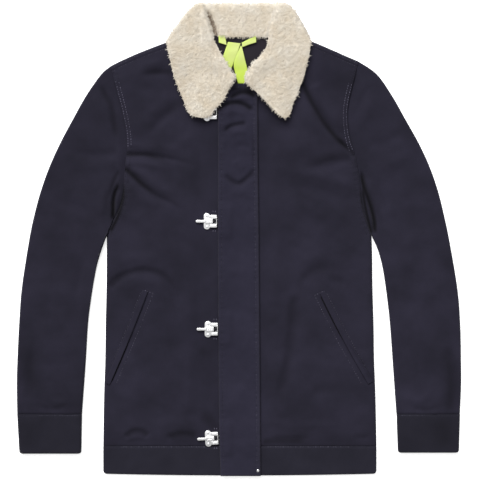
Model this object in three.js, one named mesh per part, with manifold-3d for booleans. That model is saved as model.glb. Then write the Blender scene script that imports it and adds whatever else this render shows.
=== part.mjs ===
// A deck jacket laid flat on a surface: the fronts lie on the back, the sleeves lie beside it,
// and the sheepskin collar is folded down. Millimetres.
// +Y runs from the hem to the collar, +X to the wearer's left and +Z up from the surface.
import * as THREE from "three";
import { mergeVertices } from "three/addons/utils/BufferGeometryUtils.js";
import Module from "manifold-3d";

const wasm = await Module();
wasm.setup();

// Rows of a table by the names of its columns
const rows = (names, ...values) =>
  values.map((row) => Object.fromEntries(names.map((name, i) => [name, row[i]])));

// Cloth, seams and layers
const CLOTH = 3.0; // outer cloth and lining together
const SEAM = 0.3; // between two sewn pieces
const LAYER = 0.4; // between a piece and what it lies on
const EDGE_ROLL = 6; // how far in a folded edge is rounded
const SEAM_DITCH = 0.9; // how deep the cloth dips at a seam
const BAND_EXTRA = 0.6; // the hem band and cuffs are thicker by this
const MAX_LIFT = 3.4; // the fronts never stand further than this off the back

// Body
const HEM_SEAM_Y = -352.6;
const HEM_MIDDLE_Y = -404;
const HEM_SIDE_Y = -401;
const HEM_CORNER = 6;
const CENTRE_X = 27; // where the two fronts meet, under the flap
const BACK_NECK_Y = 351;

// Front flap
const FLAP_TOP_Y = 268;
const FLAP_CORNER = 12;
const FLAP_CLOTH = 2.6;

// Collar: one sheepskin piece, its hidden layers in one rounded solid
const PELT = 8.2; // thickness of one layer with its wool
const STAND_EXTRA = 5; // the stand under the rolled part
const BAND_TOP_Z = 17.5;
const UNDER_FALL_Y = 329; // lower edge of the part that is folded under the back
const UNDER_FALL_X = 118;
const NECK_LIFT = PELT + 0.6; // how far that part lifts the back and the shoulders
const NECK_RAMP = 75;
const TIP_LIFT = 5.2; // the collar's tips lie on the flap and the top clasp

// Clasps: a riveted oblong plate with two rails, a lever between them and a wire loop that runs
// under the flap. Lengths along the clasp are from the middle of the plate.
const CLASPS = rows(
  ["x", "y", "turn"],
  [-55.5, 218, 0],
  [-55.5, 32.4, 0],
  [-53.9, -152.6, 0],
  [-53.2, -340, 0.06],
);
const PLATE = { width: 11, height: 28, thick: 1.4, rivet: 1.9, rivetOut: 9.6 };
const RAIL = { start: 5, end: 17.2, inner: 4.4, outer: 10.8, thick: 3.6 };
const PIN = { thick: 1.5, lift: 2.0 };
const LEVER = { tip: -19.4, end: 10.4, width: 5.2, thick: 1.8, hubX: -3, hub: 8.0, hubThick: 3.2 };
const WIRE = { thick: 1.6, width: 7.8, start: 11.2, end: 32 };
const SNAP = { x: 32, y: -394.4, radius: 3.5, height: 2.2 };

// Pockets: a slanted welt on each front
const WELT = { width: 9.5, thick: 1.6, steps: 12, sideClear: 4 };

// Hanger tape inside the back neck
const TAPE = { thick: 1.0, lift: 1.4 };

const NAVY = 0x2c2a36;
const NAVY_DARK = 0x282632;
const CREAM = 0xe1d8c5;
const NEON = 0xd6f05a;
const STEEL = 0xc9ccd0;

// Body side edges: how far out each half reaches at a height.
const SIDE = rows(
  ["y", "right", "left"],
  [HEM_SEAM_Y, -233.6, 235.5],
  [-268, -232.2, 233.8],
  [-206, -230.2, 231.5],
  [-144, -229.4, 230.5],
  [-82, -228, 228.7],
  [-22, -227.5, 228],
);

// Armholes, from the underarm up to the shoulder.
const ARMHOLE = rows(
  ["rightX", "rightY", "leftX", "leftY"],
  [-227.5, 8, 226.8, 9],
  [-222.5, 22, 219.6, 31],
  [-213, 40, 213.6, 50],
  [-204, 60, 210.2, 69],
  [-199.5, 81, 208, 87],
  [-198, 107, 206, 107],
  [-195, 135, 202, 130],
  [-193, 163, 198, 150],
  [-195, 190, 190, 175],
  [-202, 224, 186, 207],
  [-210, 255, 188.5, 240],
  [-221, 299, 205, 307],
);

// Upper edge of the laid-flat shoulders, from the armhole to the neck.
const SHOULDER = rows(
  ["rightX", "rightY", "leftX", "leftY"],
  [-221, 299, 205, 307],
  [-201, 309, 181, 317],
  [-173, 321, 157, 327],
  [-126, 338, 124, 340],
  [-90, 350, 92, 350],
);

// Front neckline, from the shoulder seam down to the centre.
const NECKLINE = rows(
  ["rightX", "rightY", "leftX", "leftY"],
  [-87, 342, 89, 342],
  [-69, 315, 72, 315],
  [-50, 293, 55, 293],
  [-31, 275, 42, 275],
);
const NECK_CENTRE_Y = 258;

// Sleeve edges: the outer fold and the underarm edge at each height.
const SLEEVE_OUTER = rows(
  ["y", "right", "left"],
  [285, -237, 236],
  [248, -263, 262.3],
  [207, -286, 285.5],
  [165.5, -308, 308.7],
  [124, -326.7, 327.6],
  [83, -341.2, 341.6],
  [42, -352.2, 351.7],
  [0, -360.8, 360.5],
  [-82, -373.4, 374.3],
  [-144, -378, 379.3],
  [-206, -381, 380.6],
  [-247, -382, 380.8],
  [-298, -381.3, 378.6],
);
const SLEEVE_INNER = rows(
  ["y", "right", "left"],
  [-4, -232.6, 233],
  [-20, -238, 239.5],
  [-41, -244.2, 245.2],
  [-62, -248.5, 249],
  [-103, -254.7, 254.2],
  [-144, -259.5, 258.5],
  [-206, -263.2, 263],
  [-266, -267.5, 267.2],
  [-298, -269.8, 269.6],
);

// Cuffs: seam line, lower line and the edges between them.
const CUFF = {
  right: { seamY: -298, hemY: -366.3, outer: -381.3, outerHem: -377.5, inner: -269.8, innerHem: -271 },
  left: { seamY: -298, hemY: -364.6, outer: 378.8, outerHem: 377, inner: 269.8, innerHem: 272 },
};
const CUFF_CORNER = 5;

// Folds that stand up from the fronts: a line in plan, half its width and its height.
const FOLDS = [
  { line: [[-193, 152], [-155, 150], [-95, 134]], reach: 15, height: 1.5 },
  { line: [[-192, 126], [-155, 103], [-120, 78], [-88, 52]], reach: 15, height: 2.8 },
  { line: [[-128, 200], [-180, 170]], reach: 14, height: 1.4 },
  { line: [[-178, 296], [-120, 290]], reach: 16, height: 1.4 },
  { line: [[-224, -85], [-184, -52], [-142, -48], [-112, -72], [-100, -150]], reach: 17, height: 2.0 },
  { line: [[-206, -330], [-160, -333]], reach: 9, height: 1.7 },
  { line: [[-128, -336], [-80, -336]], reach: 8, height: 1.5 },
  { line: [[114, 268], [142, 218], [170, 174], [196, 148]], reach: 16, height: 2.6 },
  { line: [[60, 118], [130, 100], [196, 82]], reach: 16, height: 1.4 },
  { line: [[48, 228], [54, 170]], reach: 9, height: 1.3 },
  { line: [[88, -100], [106, -62], [160, -50], [200, -66]], reach: 17, height: 2.0 },
  { line: [[92, -104], [80, -230], [64, -292]], reach: 15, height: 1.3 },
  { line: [[56, -336], [128, -332]], reach: 9, height: 1.6 },
  { line: [[150, -334], [200, -332]], reach: 9, height: 1.3 },
];

// Folds that stand up from the flap.
const FLAP_FOLDS = [
  { line: [[-30, 240], [0, 232], [30, 238]], reach: 9, height: 1.5 },
  { line: [[-28, 205], [0, 212], [24, 208]], reach: 9, height: 1.2 },
  { line: [[2, 178], [2, 118]], reach: 20, height: 1.6 },
  { line: [[-14, 92], [16, 96]], reach: 9, height: 1.0 },
];

// Folds across the sleeves.
const SLEEVE_FOLDS = {
  right: [
    { line: [[-235, 255], [-208, 190]], reach: 14, height: 1.0 },
    { line: [[-296, 158], [-222, 132]], reach: 16, height: 0.9 },
    { line: [[-356, 20], [-262, -10]], reach: 18, height: 0.9 },
    { line: [[-350, -200], [-366, -278]], reach: 14, height: 0.9 },
  ],
  left: [
    { line: [[238, 250], [206, 196]], reach: 14, height: 1.0 },
    { line: [[302, 140], [222, 100]], reach: 16, height: 0.9 },
    { line: [[352, 10], [258, -30]], reach: 18, height: 0.9 },
    { line: [[358, -190], [370, -290]], reach: 14, height: 0.9 },
  ],
};

// Pocket openings, from their upper end to the side.
const POCKET = {
  right: [[-156.5, -88], [-187, -166], [-222, -248]],
  left: [[137.6, -90.5], [176, -167], [221, -247]],
};

// Collar leaves: the roll, the front edge and the outer edge of each.
const LEAF = {
  right: {
    roll: [[-5, 278], [-14.6, 291], [-25.6, 311], [-43, 344], [-50.4, 368], [-56, 382], [-61, 402]],
    front: [[-5, 278], [-19, 251.5], [-29, 234], [-41, 224], [-46, 213]],
    outer: [
      [-46, 213], [-62, 207.5], [-79, 211], [-89, 219], [-100, 247], [-112, 276], [-120, 310], [-125.5, 335],
    ],
    shoulder: [[-125.5, 335], [-113.5, 355], [-98.7, 374.6], [-88, 389], [-75, 402]],
  },
  left: {
    roll: [[9.5, 278], [16, 293], [29, 308.6], [42, 324], [47, 338], [50, 362], [57, 382], [66, 402]],
    front: [[9.5, 278], [11, 267], [31, 249], [50.5, 229], [66, 214]],
    outer: [[66, 214], [77, 207], [87, 213], [93, 231], [102, 253], [111, 277], [119, 310], [123.5, 337]],
    shoulder: [[123.5, 337], [113, 358], [99, 383], [92, 394], [83, 402]],
  },
};
const BAND_TOP = [[-75, 402], [-61, 405], [0, 405.4], [70, 405], [83, 402]];

// Plan helpers
const flat = ([x, y]) => new THREE.Vector2(x, y);
const spline = (points) => new THREE.SplineCurve(points.map(flat));
const clamp = (value, low, high) => Math.min(high, Math.max(low, value));
const smooth = (value) => THREE.MathUtils.smoothstep(value, 0, 1);
const even = (count) => Array.from({ length: count + 1 }, (_, i) => i / count);
const column = (table, x, y) => table.map((row) => [row[x], row[y]]);

// Quarter-round profile of a folded edge: 0 at the edge, 1 from the radius inwards.
const rounded = (distance, radius) => Math.sqrt(1 - (1 - clamp(distance / radius, 0, 1)) ** 2);

// Points at the given fractions of each curve, one curve after another.
function boundary(...parts) {
  const points = [];
  for (const { along, at } of parts) {
    const path = along instanceof THREE.Curve ? along : spline(along);
    for (const fraction of at) {
      const point = path.getPointAt(fraction);
      if (!points.length || points.at(-1).distanceTo(point) > 1e-3) points.push(point);
    }
  }
  return points;
}

// Each boundary point moved sideways by a distance; positive is to the left of its direction.
function moved(points, distance) {
  return points.map((point, i) => {
    const ahead = points[Math.min(i + 1, points.length - 1)];
    const behind = points[Math.max(i - 1, 0)];
    const along = ahead.clone().sub(behind).normalize();
    return new THREE.Vector2(point.x - along.y * distance, point.y + along.x * distance);
  });
}

// How far along its length each point of a boundary lies, from 0 to 1.
function fractions(points) {
  const lengths = points.map((_, i) => (i ? points[i].distanceTo(points[i - 1]) : 0));
  const sums = lengths.map((_, i) => lengths.slice(0, i + 1).reduce((a, b) => a + b));
  return sums.map((sum) => sum / sums.at(-1));
}

// A grid of plan points between four boundaries that share their corners.
function patch({ left, right, bottom, top }) {
  const across = fractions(bottom).map((f, i) => (f + fractions(top)[i]) / 2);
  const up = fractions(left).map((f, j) => (f + fractions(right)[j]) / 2);
  return up.map((v, j) =>
    across.map((u, i) => {
      const sides = left[j].clone().lerp(right[j], u);
      const ends = bottom[i].clone().lerp(top[i], v);
      const corners = bottom[0].clone().lerp(bottom.at(-1), u)
        .lerp(top[0].clone().lerp(top.at(-1), u), v);
      return sides.add(ends).sub(corners);
    }),
  );
}

// Geometry helpers
function closedGeometry(positions, index) {
  let volume = 0;
  const corner = [new THREE.Vector3(), new THREE.Vector3(), new THREE.Vector3()];
  for (let i = 0; i < index.length; i += 3) {
    corner.forEach((c, k) => c.fromArray(positions, 3 * index[i + k]));
    volume += corner[0].dot(corner[1].clone().cross(corner[2]));
  }
  const faces = volume < 0 ? index.toReversed() : index;
  const geometry = new THREE.BufferGeometry();
  geometry.setAttribute("position", new THREE.Float32BufferAttribute(positions, 3));
  geometry.setIndex(faces);
  geometry.computeVertexNormals();
  return geometry;
}

const quad = (a, b, c, d) => [a, b, c, a, c, d];

// A wall over a grid of plan points. heights gives the lower and upper face at each point.
function wall(grid, heights) {
  const rowCount = grid.length;
  const colCount = grid[0].length;
  const positions = [];
  for (const face of [0, 1])
    grid.forEach((row, j) =>
      row.forEach((p, i) => positions.push(p.x, p.y, heights(p, i, j, row)[face])),
    );
  const at = (face, j, i) => (face * rowCount + j) * colCount + i;
  const index = [];
  for (let j = 0; j + 1 < rowCount; j++)
    for (let i = 0; i + 1 < colCount; i++) {
      index.push(...quad(at(1, j, i), at(1, j, i + 1), at(1, j + 1, i + 1), at(1, j + 1, i)));
      index.push(...quad(at(0, j, i), at(0, j + 1, i), at(0, j + 1, i + 1), at(0, j, i + 1)));
    }
  for (let i = 0; i + 1 < colCount; i++) {
    index.push(...quad(at(0, 0, i), at(0, 0, i + 1), at(1, 0, i + 1), at(1, 0, i)));
    const j = rowCount - 1;
    index.push(...quad(at(0, j, i + 1), at(0, j, i), at(1, j, i), at(1, j, i + 1)));
  }
  for (let j = 0; j + 1 < rowCount; j++) {
    index.push(...quad(at(0, j + 1, 0), at(0, j, 0), at(1, j, 0), at(1, j + 1, 0)));
    const i = colCount - 1;
    index.push(...quad(at(0, j, i), at(0, j + 1, i), at(1, j + 1, i), at(1, j, i)));
  }
  return closedGeometry(positions, index);
}

// A tube wall through rings, each with an outer and an inner loop of as many points.
function tube(rings) {
  const around = rings[0].outer.length;
  const positions = rings.flatMap(({ outer, inner }) => [...outer, ...inner].flatMap((p) => p.toArray()));
  const at = (ring, loop, k) => ring * 2 * around + loop * around + (k % around);
  const index = [];
  const last = rings.length - 1;
  for (let k = 0; k < around; k++) {
    for (let r = 0; r < last; r++) {
      index.push(...quad(at(r, 0, k), at(r, 0, k + 1), at(r + 1, 0, k + 1), at(r + 1, 0, k)));
      index.push(...quad(at(r, 1, k + 1), at(r, 1, k), at(r + 1, 1, k), at(r + 1, 1, k + 1)));
    }
    index.push(...quad(at(0, 0, k + 1), at(0, 0, k), at(0, 1, k), at(0, 1, k + 1)));
    index.push(...quad(at(last, 0, k), at(last, 0, k + 1), at(last, 1, k + 1), at(last, 1, k)));
  }
  return closedGeometry(positions, index);
}

function solidOf(geometry) {
  const bare = geometry.clone();
  bare.deleteAttribute("normal");
  bare.deleteAttribute("uv");
  const merged = mergeVertices(bare, 1e-4);
  return new wasm.Manifold(
    new wasm.Mesh({
      numProp: 3,
      vertProperties: merged.attributes.position.array,
      triVerts: new Uint32Array(merged.index.array),
    }),
  );
}

function geometryOf(solid) {
  const mesh = solid.getMesh();
  return closedGeometry([...mesh.vertProperties], [...mesh.triVerts]);
}

function joined(...geometries) {
  return geometryOf(geometries.map(solidOf).reduce((all, one) => all.add(one)));
}

// Shape of the lay
// The part of the collar that is folded under lifts the back neck and the shoulders.
function neckRise({ x, y }) {
  const up = smooth((y - (UNDER_FALL_Y - 4 - NECK_RAMP)) / NECK_RAMP);
  const across = smooth((UNDER_FALL_X + 4 + NECK_RAMP - Math.abs(x)) / NECK_RAMP);
  return NECK_LIFT * up * across;
}

function distanceToLine({ x, y }, line) {
  const point = new THREE.Vector3(x, y, 0);
  const nearest = new THREE.Vector3();
  const distances = line.slice(1).map(([bx, by], i) => {
    const [ax, ay] = line[i];
    const segment = new THREE.Line3(new THREE.Vector3(ax, ay, 0), new THREE.Vector3(bx, by, 0));
    return segment.closestPointToPoint(point, true, nearest).distanceTo(point);
  });
  return Math.min(...distances);
}

function foldHeight(point, folds) {
  return folds.reduce(
    (sum, { line, reach, height }) => sum + height * Math.exp(-((distanceToLine(point, line) / reach) ** 2)),
    0,
  );
}

const LEAF_EDGE = { x: 90, y: 215, slope: 0.36 }; // just outside a collar leaf's outer edge

// How far the fronts stand off the back: none under the flap, the clasps and the collar.
function frontLift(point) {
  const beside = smooth((Math.abs(point.x - 1) - 66) / 26);
  const collarX = LEAF_EDGE.x + LEAF_EDGE.slope * (point.y - LEAF_EDGE.y);
  const besideCollar = smooth((Math.abs(point.x) - collarX) / 26);
  const belowCollar = smooth((LEAF_EDGE.y - 16 - point.y) / 26);
  return clamp(foldHeight(point, FOLDS) + 0.5, 0, MAX_LIFT) * beside * Math.max(besideCollar, belowCollar);
}

// The layers stand a little further apart where they all climb over the folded collar.
const layerGap = ({ y }) => SEAM + 0.8 * smooth((y - (UNDER_FALL_Y - 4 - NECK_RAMP - 34)) / 30);
const frontUnder = (point) => CLOTH + neckRise(point) + layerGap(point) + frontLift(point);
const frontTop = (point) => frontUnder(point) + CLOTH;

// Edges of one half of the body
function halfEdges(half) {
  const x = half + "X";
  const y = half + "Y";
  const armhole = spline(column(ARMHOLE, x, y));
  const side = spline([...column(SIDE, half, "y"), [ARMHOLE[0][x], ARMHOLE[0][y]]]);
  return { side, armhole, shoulder: spline(column(SHOULDER, x, y)), neck: column(NECKLINE, x, y) };
}

const FRONT_SIDE_STEPS = even(14);
const BACK_SIDE_STEPS = even(6);
const ARMHOLE_STEPS = [
  0.01, 0.035, 0.09, 0.16, 0.23, 0.31, 0.4, 0.49, 0.58, 0.67, 0.76, 0.84, 0.91, 0.95, 0.972, 0.992, 1,
];
const SHOULDER_SEAM_AT = 0.972; // the shoulder seam meets the armhole here
const EDGE_STEPS = [0, 0.012, 0.045, 0.13, 0.26, 0.39, 0.52, 0.65, 0.78, 0.9, 1];
const BACK_EDGE_STEPS = [0, 0.012, 0.045, 0.2, 0.42, 0.65, 0.85, 1];

// Side and armhole of one half, from the hem seam up; the armhole edge keeps half the seam.
function outerEdge(half, sideSteps, armholeEnd = 1) {
  const { side, armhole } = halfEdges(half);
  const below = boundary({ along: side, at: sideSteps });
  const above = boundary({ along: armhole, at: ARMHOLE_STEPS.filter((f) => f <= armholeEnd) });
  const inwards = half === "right" ? -SEAM / 2 : SEAM / 2;
  return [...below, ...moved([below.at(-1), ...above], inwards).slice(1)];
}

// How deep the edge of a body panel is rounded down at its outer side.
function edgeDip(distance, j) {
  if (j < FRONT_SIDE_STEPS.length) return (CLOTH - 0.6) * (1 - rounded(distance, EDGE_ROLL));
  return SEAM_DITCH * (1 - rounded(distance, EDGE_ROLL));
}

function frontGeometry(half) {
  const { shoulder, neck } = halfEdges(half);
  const outer = outerEdge(half, FRONT_SIDE_STEPS, SHOULDER_SEAM_AT);
  const shoulderEnd = flat(neck[0]);
  const seam = boundary({ along: shoulder, at: EDGE_STEPS }).map((p, i, all) =>
    p.clone().add(outer.at(-1).clone().sub(all[0]).lerp(shoulderEnd.clone().sub(all.at(-1)), EDGE_STEPS[i])),
  );
  const centreX = CENTRE_X + (half === "right" ? -SEAM / 2 : SEAM / 2);
  const centreTop = [centreX, NECK_CENTRE_Y];
  const neckSteps = half === "right" ? even(5) : even(4);
  const neckline = boundary({ along: [...neck, centreTop], at: neckSteps });
  const top = [...seam, ...neckline.slice(1)];
  const hemStart = new THREE.Vector2(outer[0].x, HEM_SEAM_Y + SEAM / 2);
  outer[0] = hemStart;
  const bottom = top.map((p, i) => {
    const share = i < seam.length ? EDGE_STEPS[i] : 1;
    const x = i < seam.length ? THREE.MathUtils.lerp(hemStart.x, shoulderEnd.x, share) : p.x;
    return new THREE.Vector2(x, hemStart.y);
  });
  const underarmY = outer[FRONT_SIDE_STEPS.length - 1].y;
  const centre = outer.map((p) => {
    const share = clamp((p.y - underarmY) / (outer.at(-1).y - underarmY), 0, 1);
    const y = p.y <= underarmY ? p.y : THREE.MathUtils.lerp(underarmY, NECK_CENTRE_Y, share);
    return new THREE.Vector2(centreX, y);
  });
  const grid = patch({ left: outer, right: centre, bottom, top });
  return wall(grid, (p, i, j, row) => {
    const edge = p.distanceTo(row[0]);
    const nearEdge = rounded(edge, 3 * EDGE_ROLL);
    const under = CLOTH + neckRise(p) + layerGap(p) + frontLift(p) * nearEdge;
    return [under, under + CLOTH - edgeDip(edge, j)];
  });
}

// The back, with the strips that turn over the shoulders to the seams on the front.
function backGeometry() {
  const left = outerEdge("right", BACK_SIDE_STEPS);
  const right = outerEdge("left", BACK_SIDE_STEPS);
  left[0] = new THREE.Vector2(left[0].x, HEM_SEAM_Y + SEAM / 2);
  right[0] = new THREE.Vector2(right[0].x, HEM_SEAM_Y + SEAM / 2);
  const neckAt = [0.2, 0.4, 0.6, 0.8];
  const rightNeck = [SHOULDER.at(-1).rightX, BACK_NECK_Y - 1];
  const leftNeck = [SHOULDER.at(-1).leftX, BACK_NECK_Y - 1];
  const top = [
    ...boundary({ along: halfEdges("right").shoulder, at: BACK_EDGE_STEPS }),
    ...neckAt.map((f) => flat(rightNeck).lerp(flat(leftNeck), f)),
    ...boundary({ along: halfEdges("left").shoulder, at: BACK_EDGE_STEPS.toReversed() }),
  ];
  top[0] = left.at(-1);
  top[top.length - 1] = right.at(-1);
  const shares = fractions(top);
  const bottom = shares.map((f) => left[0].clone().lerp(right[0], f));
  const grid = patch({ left, right, bottom, top });
  const body = wall(grid, (p, i, j, row) => {
    const edge = Math.min(p.distanceTo(row[0]), p.distanceTo(row.at(-1)));
    const curl = j < BACK_SIDE_STEPS.length ? (CLOTH - 0.8) * (1 - rounded(edge, EDGE_ROLL)) : 0;
    return [neckRise(p) + curl, neckRise(p) + CLOTH];
  });
  return joined(body, shoulderTurn("right"), shoulderTurn("left"));
}

// A strip over one shoulder, from the edge of the lay to the seam on the front.
function shoulderTurn(half) {
  const { shoulder, neck } = halfEdges(half);
  const outer = outerEdge(half, FRONT_SIDE_STEPS, SHOULDER_SEAM_AT).at(-1);
  const steps = EDGE_STEPS.slice(1, -1);
  const edge = boundary({ along: shoulder, at: steps });
  const ends = [shoulder.getPointAt(0), shoulder.getPointAt(1)];
  const shift = [outer.clone().sub(ends[0]), flat(neck[0]).sub(ends[1])];
  const seam = edge.map((p, i) => p.clone().add(shift[0].clone().lerp(shift[1], steps[i])));
  const grid = [0, 0.35, 0.75, 1].map((f) =>
    edge.map((p, i) => {
      const down = seam[i].clone().sub(p);
      const reach = (down.length() - SEAM) * f + 0.2;
      return p.clone().add(down.setLength(reach));
    }),
  );
  return wall(grid, (p, i, j) => {
    const base = neckRise(p);
    const full = base + layerGap(p) + 2 * CLOTH;
    const dip = [2.6, 0.5, 0, SEAM_DITCH / 2][j];
    return [base + 1, full - dip];
  });
}

// Hem band of one half of the front, or of the back.
function hemGrid(fromX, toX, roundFrom, roundTo, columns) {
  const lower = (x) => {
    const middle = 1 - (x / 235) ** 2;
    return THREE.MathUtils.lerp(HEM_SIDE_Y, HEM_MIDDLE_Y, clamp(middle, 0, 1));
  };
  const corner = (distance) => HEM_CORNER * (1 - rounded(distance, HEM_CORNER));
  return even(4).map((v) =>
    columns.map((u) => {
      const x = THREE.MathUtils.lerp(fromX, toX, u);
      const lift = (roundFrom ? corner(Math.abs(x - fromX)) : 0) + (roundTo ? corner(Math.abs(x - toX)) : 0);
      const bottom = lower(x) + lift;
      return new THREE.Vector2(x, THREE.MathUtils.lerp(bottom, HEM_SEAM_Y - SEAM / 2, v));
    }),
  );
}

const HEM_COLUMNS = [0, 0.008, 0.03, 0.1, 0.24, 0.4, 0.55, 0.7, 0.85, 1];

function hemFront(half) {
  const side = half === "right" ? SIDE[0].right : SIDE[0].left;
  const centreX = CENTRE_X + (half === "right" ? -SEAM / 2 : SEAM / 2);
  const grid = hemGrid(side, centreX, true, false, HEM_COLUMNS);
  return wall(grid, (p, i, j, row) => {
    const edge = p.distanceTo(row[0]);
    const ends = Math.min(p.y - grid[0][i].y, grid.at(-1)[i].y - p.y);
    const dip = (CLOTH - 0.6) * (1 - rounded(edge, EDGE_ROLL)) + 1.1 * (1 - rounded(ends, 8));
    return [CLOTH + SEAM, 2 * CLOTH + SEAM + BAND_EXTRA + 0.3 - Math.min(dip, CLOTH - 0.6)];
  });
}

function hemBack() {
  const mirrored = HEM_COLUMNS.toReversed().slice(1);
  const columns = [...HEM_COLUMNS.map((u) => u / 2), ...mirrored.map((u) => 1 - u / 2)];
  const grid = hemGrid(SIDE[0].right, SIDE[0].left, true, true, columns);
  return wall(grid, (p, i, j, row) => {
    const edge = Math.min(p.distanceTo(row[0]), p.distanceTo(row.at(-1)));
    return [(CLOTH - 0.8) * (1 - rounded(edge, EDGE_ROLL)), CLOTH];
  });
}

// Ring of a flattened tube over a row of plan points, from its outer to its inner edge.
function flatRing(row, height, thickness, extra) {
  const width = row[0].distanceTo(row.at(-1));
  const inwards = row.at(-1).clone().sub(row[0]).setLength(thickness);
  const middle = height / 2;
  const loop = (points, sign, inside) =>
    points.map((point) => {
      const across = point.distanceTo(row[0]) / width;
      const half = middle * rounded(Math.min(point.distanceTo(row[0]), point.distanceTo(row.at(-1))), middle);
      const p = inside ? point.clone().addScaledVector(inwards, 1 - 2 * clamp(across, 0, 1)) : point;
      const wallCut = inside ? thickness * (half / middle) : 0;
      const up = sign > 0 ? extra(p) * (half / middle) : 0;
      return new THREE.Vector3(p.x, p.y, middle + sign * (half - wallCut) + up);
    });
  const under = row.slice(1, -1).toReversed();
  return {
    outer: [...loop(row, 1, false), ...loop(under, -1, false)],
    inner: [...loop(row, 1, true), ...loop(under, -1, true)],
  };
}

const SLEEVE_ROWS = [0, 0.035, 0.1, 0.18, 0.27, 0.36, 0.46, 0.56, 0.67, 0.78, 0.88, 0.97, 1];
const SLEEVE_HEIGHT = 9.2;
const UNDERARM_CLEAR = 0.8; // the sleeve's underarm corner stands off the body by this

function sleeveGeometry(half) {
  const sign = half === "right" ? -1 : 1;
  const { armhole } = halfEdges(half);
  const upward = boundary({ along: armhole, at: [0, ...ARMHOLE_STEPS] });
  const cap = moved(upward, -sign * (SEAM / 2)).toReversed();
  cap.at(-1).x += sign * UNDERARM_CLEAR;
  const outerLine = [cap[0].toArray(), ...column(SLEEVE_OUTER, half, "y")];
  const innerLine = [cap.at(-1).toArray(), ...column(SLEEVE_INNER, half, "y")];
  const left = boundary({ along: outerLine, at: SLEEVE_ROWS });
  const right = boundary({ along: innerLine, at: SLEEVE_ROWS });
  const top = fractions(cap).map((u) => left.at(-1).clone().lerp(right.at(-1), u));
  const grid = patch({ left, right, bottom: cap, top });
  const rings = grid.map((row, j) => {
    const fromCap = left[0].distanceTo(left[j]);
    const height = THREE.MathUtils.lerp(2 * CLOTH + SEAM, SLEEVE_HEIGHT, smooth(fromCap / 30));
    const fade = smooth(fromCap / 25);
    const extra = (p) => fade * (foldHeight(p, SLEEVE_FOLDS[half]) + 0.15);
    return flatRing(row, height, Math.min(CLOTH, height / 2 - 0.35), extra);
  });
  return tube(rings);
}

const CUFF_COLUMNS = [0, 0.012, 0.045, 0.25, 0.5, 0.75, 0.955, 0.988, 1];

function cuffGeometry(half) {
  const { seamY, hemY, outer, outerHem, inner, innerHem } = CUFF[half];
  const sign = Math.sign(outer);
  const rings = [0, 0.06, 0.5, 0.94, 0.985, 1].map((v) => {
    const down = THREE.MathUtils.lerp(seamY - SEAM, hemY, v);
    const corner = CUFF_CORNER * (1 - rounded(down - hemY + 0.3, CUFF_CORNER));
    const outerX = THREE.MathUtils.lerp(outer, outerHem, v) - sign * corner;
    const innerX = THREE.MathUtils.lerp(inner, innerHem, v) + sign * corner;
    const height = SLEEVE_HEIGHT + BAND_EXTRA - (v === 0 || v === 1 ? 1.6 : 0);
    const row = CUFF_COLUMNS.map((u) => new THREE.Vector2(THREE.MathUtils.lerp(outerX, innerX, u), down));
    return flatRing(row, height, CLOTH + BAND_EXTRA / 2, () => 0);
  });
  return tube(rings);
}

// The flap over the front opening, with room over each clasp's wire.
const FLAP_ROWS = [0, 0.04, 0.08, ...even(24).slice(3, -1), 0.985, 1];
const FLAP_COLUMNS = [0, 0.055, 0.22, 0.5, 0.75, 0.94, 1];

function flapUnder(p) {
  const overHem = (BAND_EXTRA + 0.4) * smooth((HEM_SEAM_Y + 14 - p.y) / 12);
  const wires = CLASPS.map(({ y }) => 2.2 * smooth((36 - Math.abs(p.y - y)) / 16));
  const overWires = Math.max(...wires) * smooth((-7 - p.x) / 12);
  const folds = Math.min(foldHeight(p, FLAP_FOLDS), 2) * smooth((24 - p.x) / 14);
  return 2 * CLOTH + neckRise(p) + layerGap(p) + LAYER + overHem + Math.max(overWires, folds);
}

function flapGeometry() {
  const free = spline([[-32, HEM_MIDDLE_Y], [-34.4, -320], [-35.6, -150], [-36.4, 33], [-36, FLAP_TOP_Y]]);
  const sewn = spline([[36.8, HEM_MIDDLE_Y], [35.8, -250], [33.8, 0], [32, 150], [31.5, FLAP_TOP_Y]]);
  const grid = FLAP_ROWS.map((v) => {
    const from = free.getPointAt(v);
    const to = sewn.getPointAt(v);
    const corner = FLAP_CORNER * (1 - rounded((1 - v) * 672 + 0.5, FLAP_CORNER));
    from.x += corner;
    return FLAP_COLUMNS.map((u) => from.clone().lerp(to, u));
  });
  return wall(grid, (p, i, j, row) => {
    const edge = Math.min(p.distanceTo(row[0]), p.distanceTo(row.at(-1)));
    const under = flapUnder(p);
    return [under, under + FLAP_CLOTH - 0.9 * (1 - rounded(edge, 4))];
  });
}

// A welt along each pocket opening, on its outer side and following the front.
function weltGeometry(half) {
  const sign = half === "right" ? -1 : 1;
  const line = spline(POCKET[half]);
  const sideX = Math.abs(SIDE[1][half]) - WELT.sideClear;
  const grid = even(WELT.steps).map((v) => {
    const at = line.getPointAt(v);
    const along = line.getTangentAt(v);
    const out = new THREE.Vector2(-along.y, along.x).multiplyScalar(sign);
    return [0, 0.2, 0.8, 1].map((u) => {
      const point = at.clone().addScaledVector(out, u * WELT.width);
      point.x = clamp(point.x, -sideX, sideX);
      return point;
    });
  });
  return wall(grid, (p, i) => {
    const under = frontTop(p) + LAYER;
    return [under, under + WELT.thick - (i === 0 || i === 3 ? 0.6 : 0)];
  });
}

// Collar
function leafUnder(p) {
  const tip = smooth((292 - p.y) / 28) * smooth((92 - Math.abs(p.x)) / 22);
  return 2 * CLOTH + neckRise(p) + 1.8 * layerGap(p) + LAYER + TIP_LIFT * tip;
}

const LEAF_ACROSS = [0, 0.035, 0.1, 0.22, 0.4, 0.6, 0.78, 0.9, 0.965, 1];
const LEAF_UP = [0, 0.02, 0.06, 0.13, 0.22, 0.32, 0.42, 0.52, 0.62, 0.72, 0.82, 0.92, 1];
const OUTER_SHARE = 0.62; // the leaf's outer edge ends this far along its side

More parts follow.
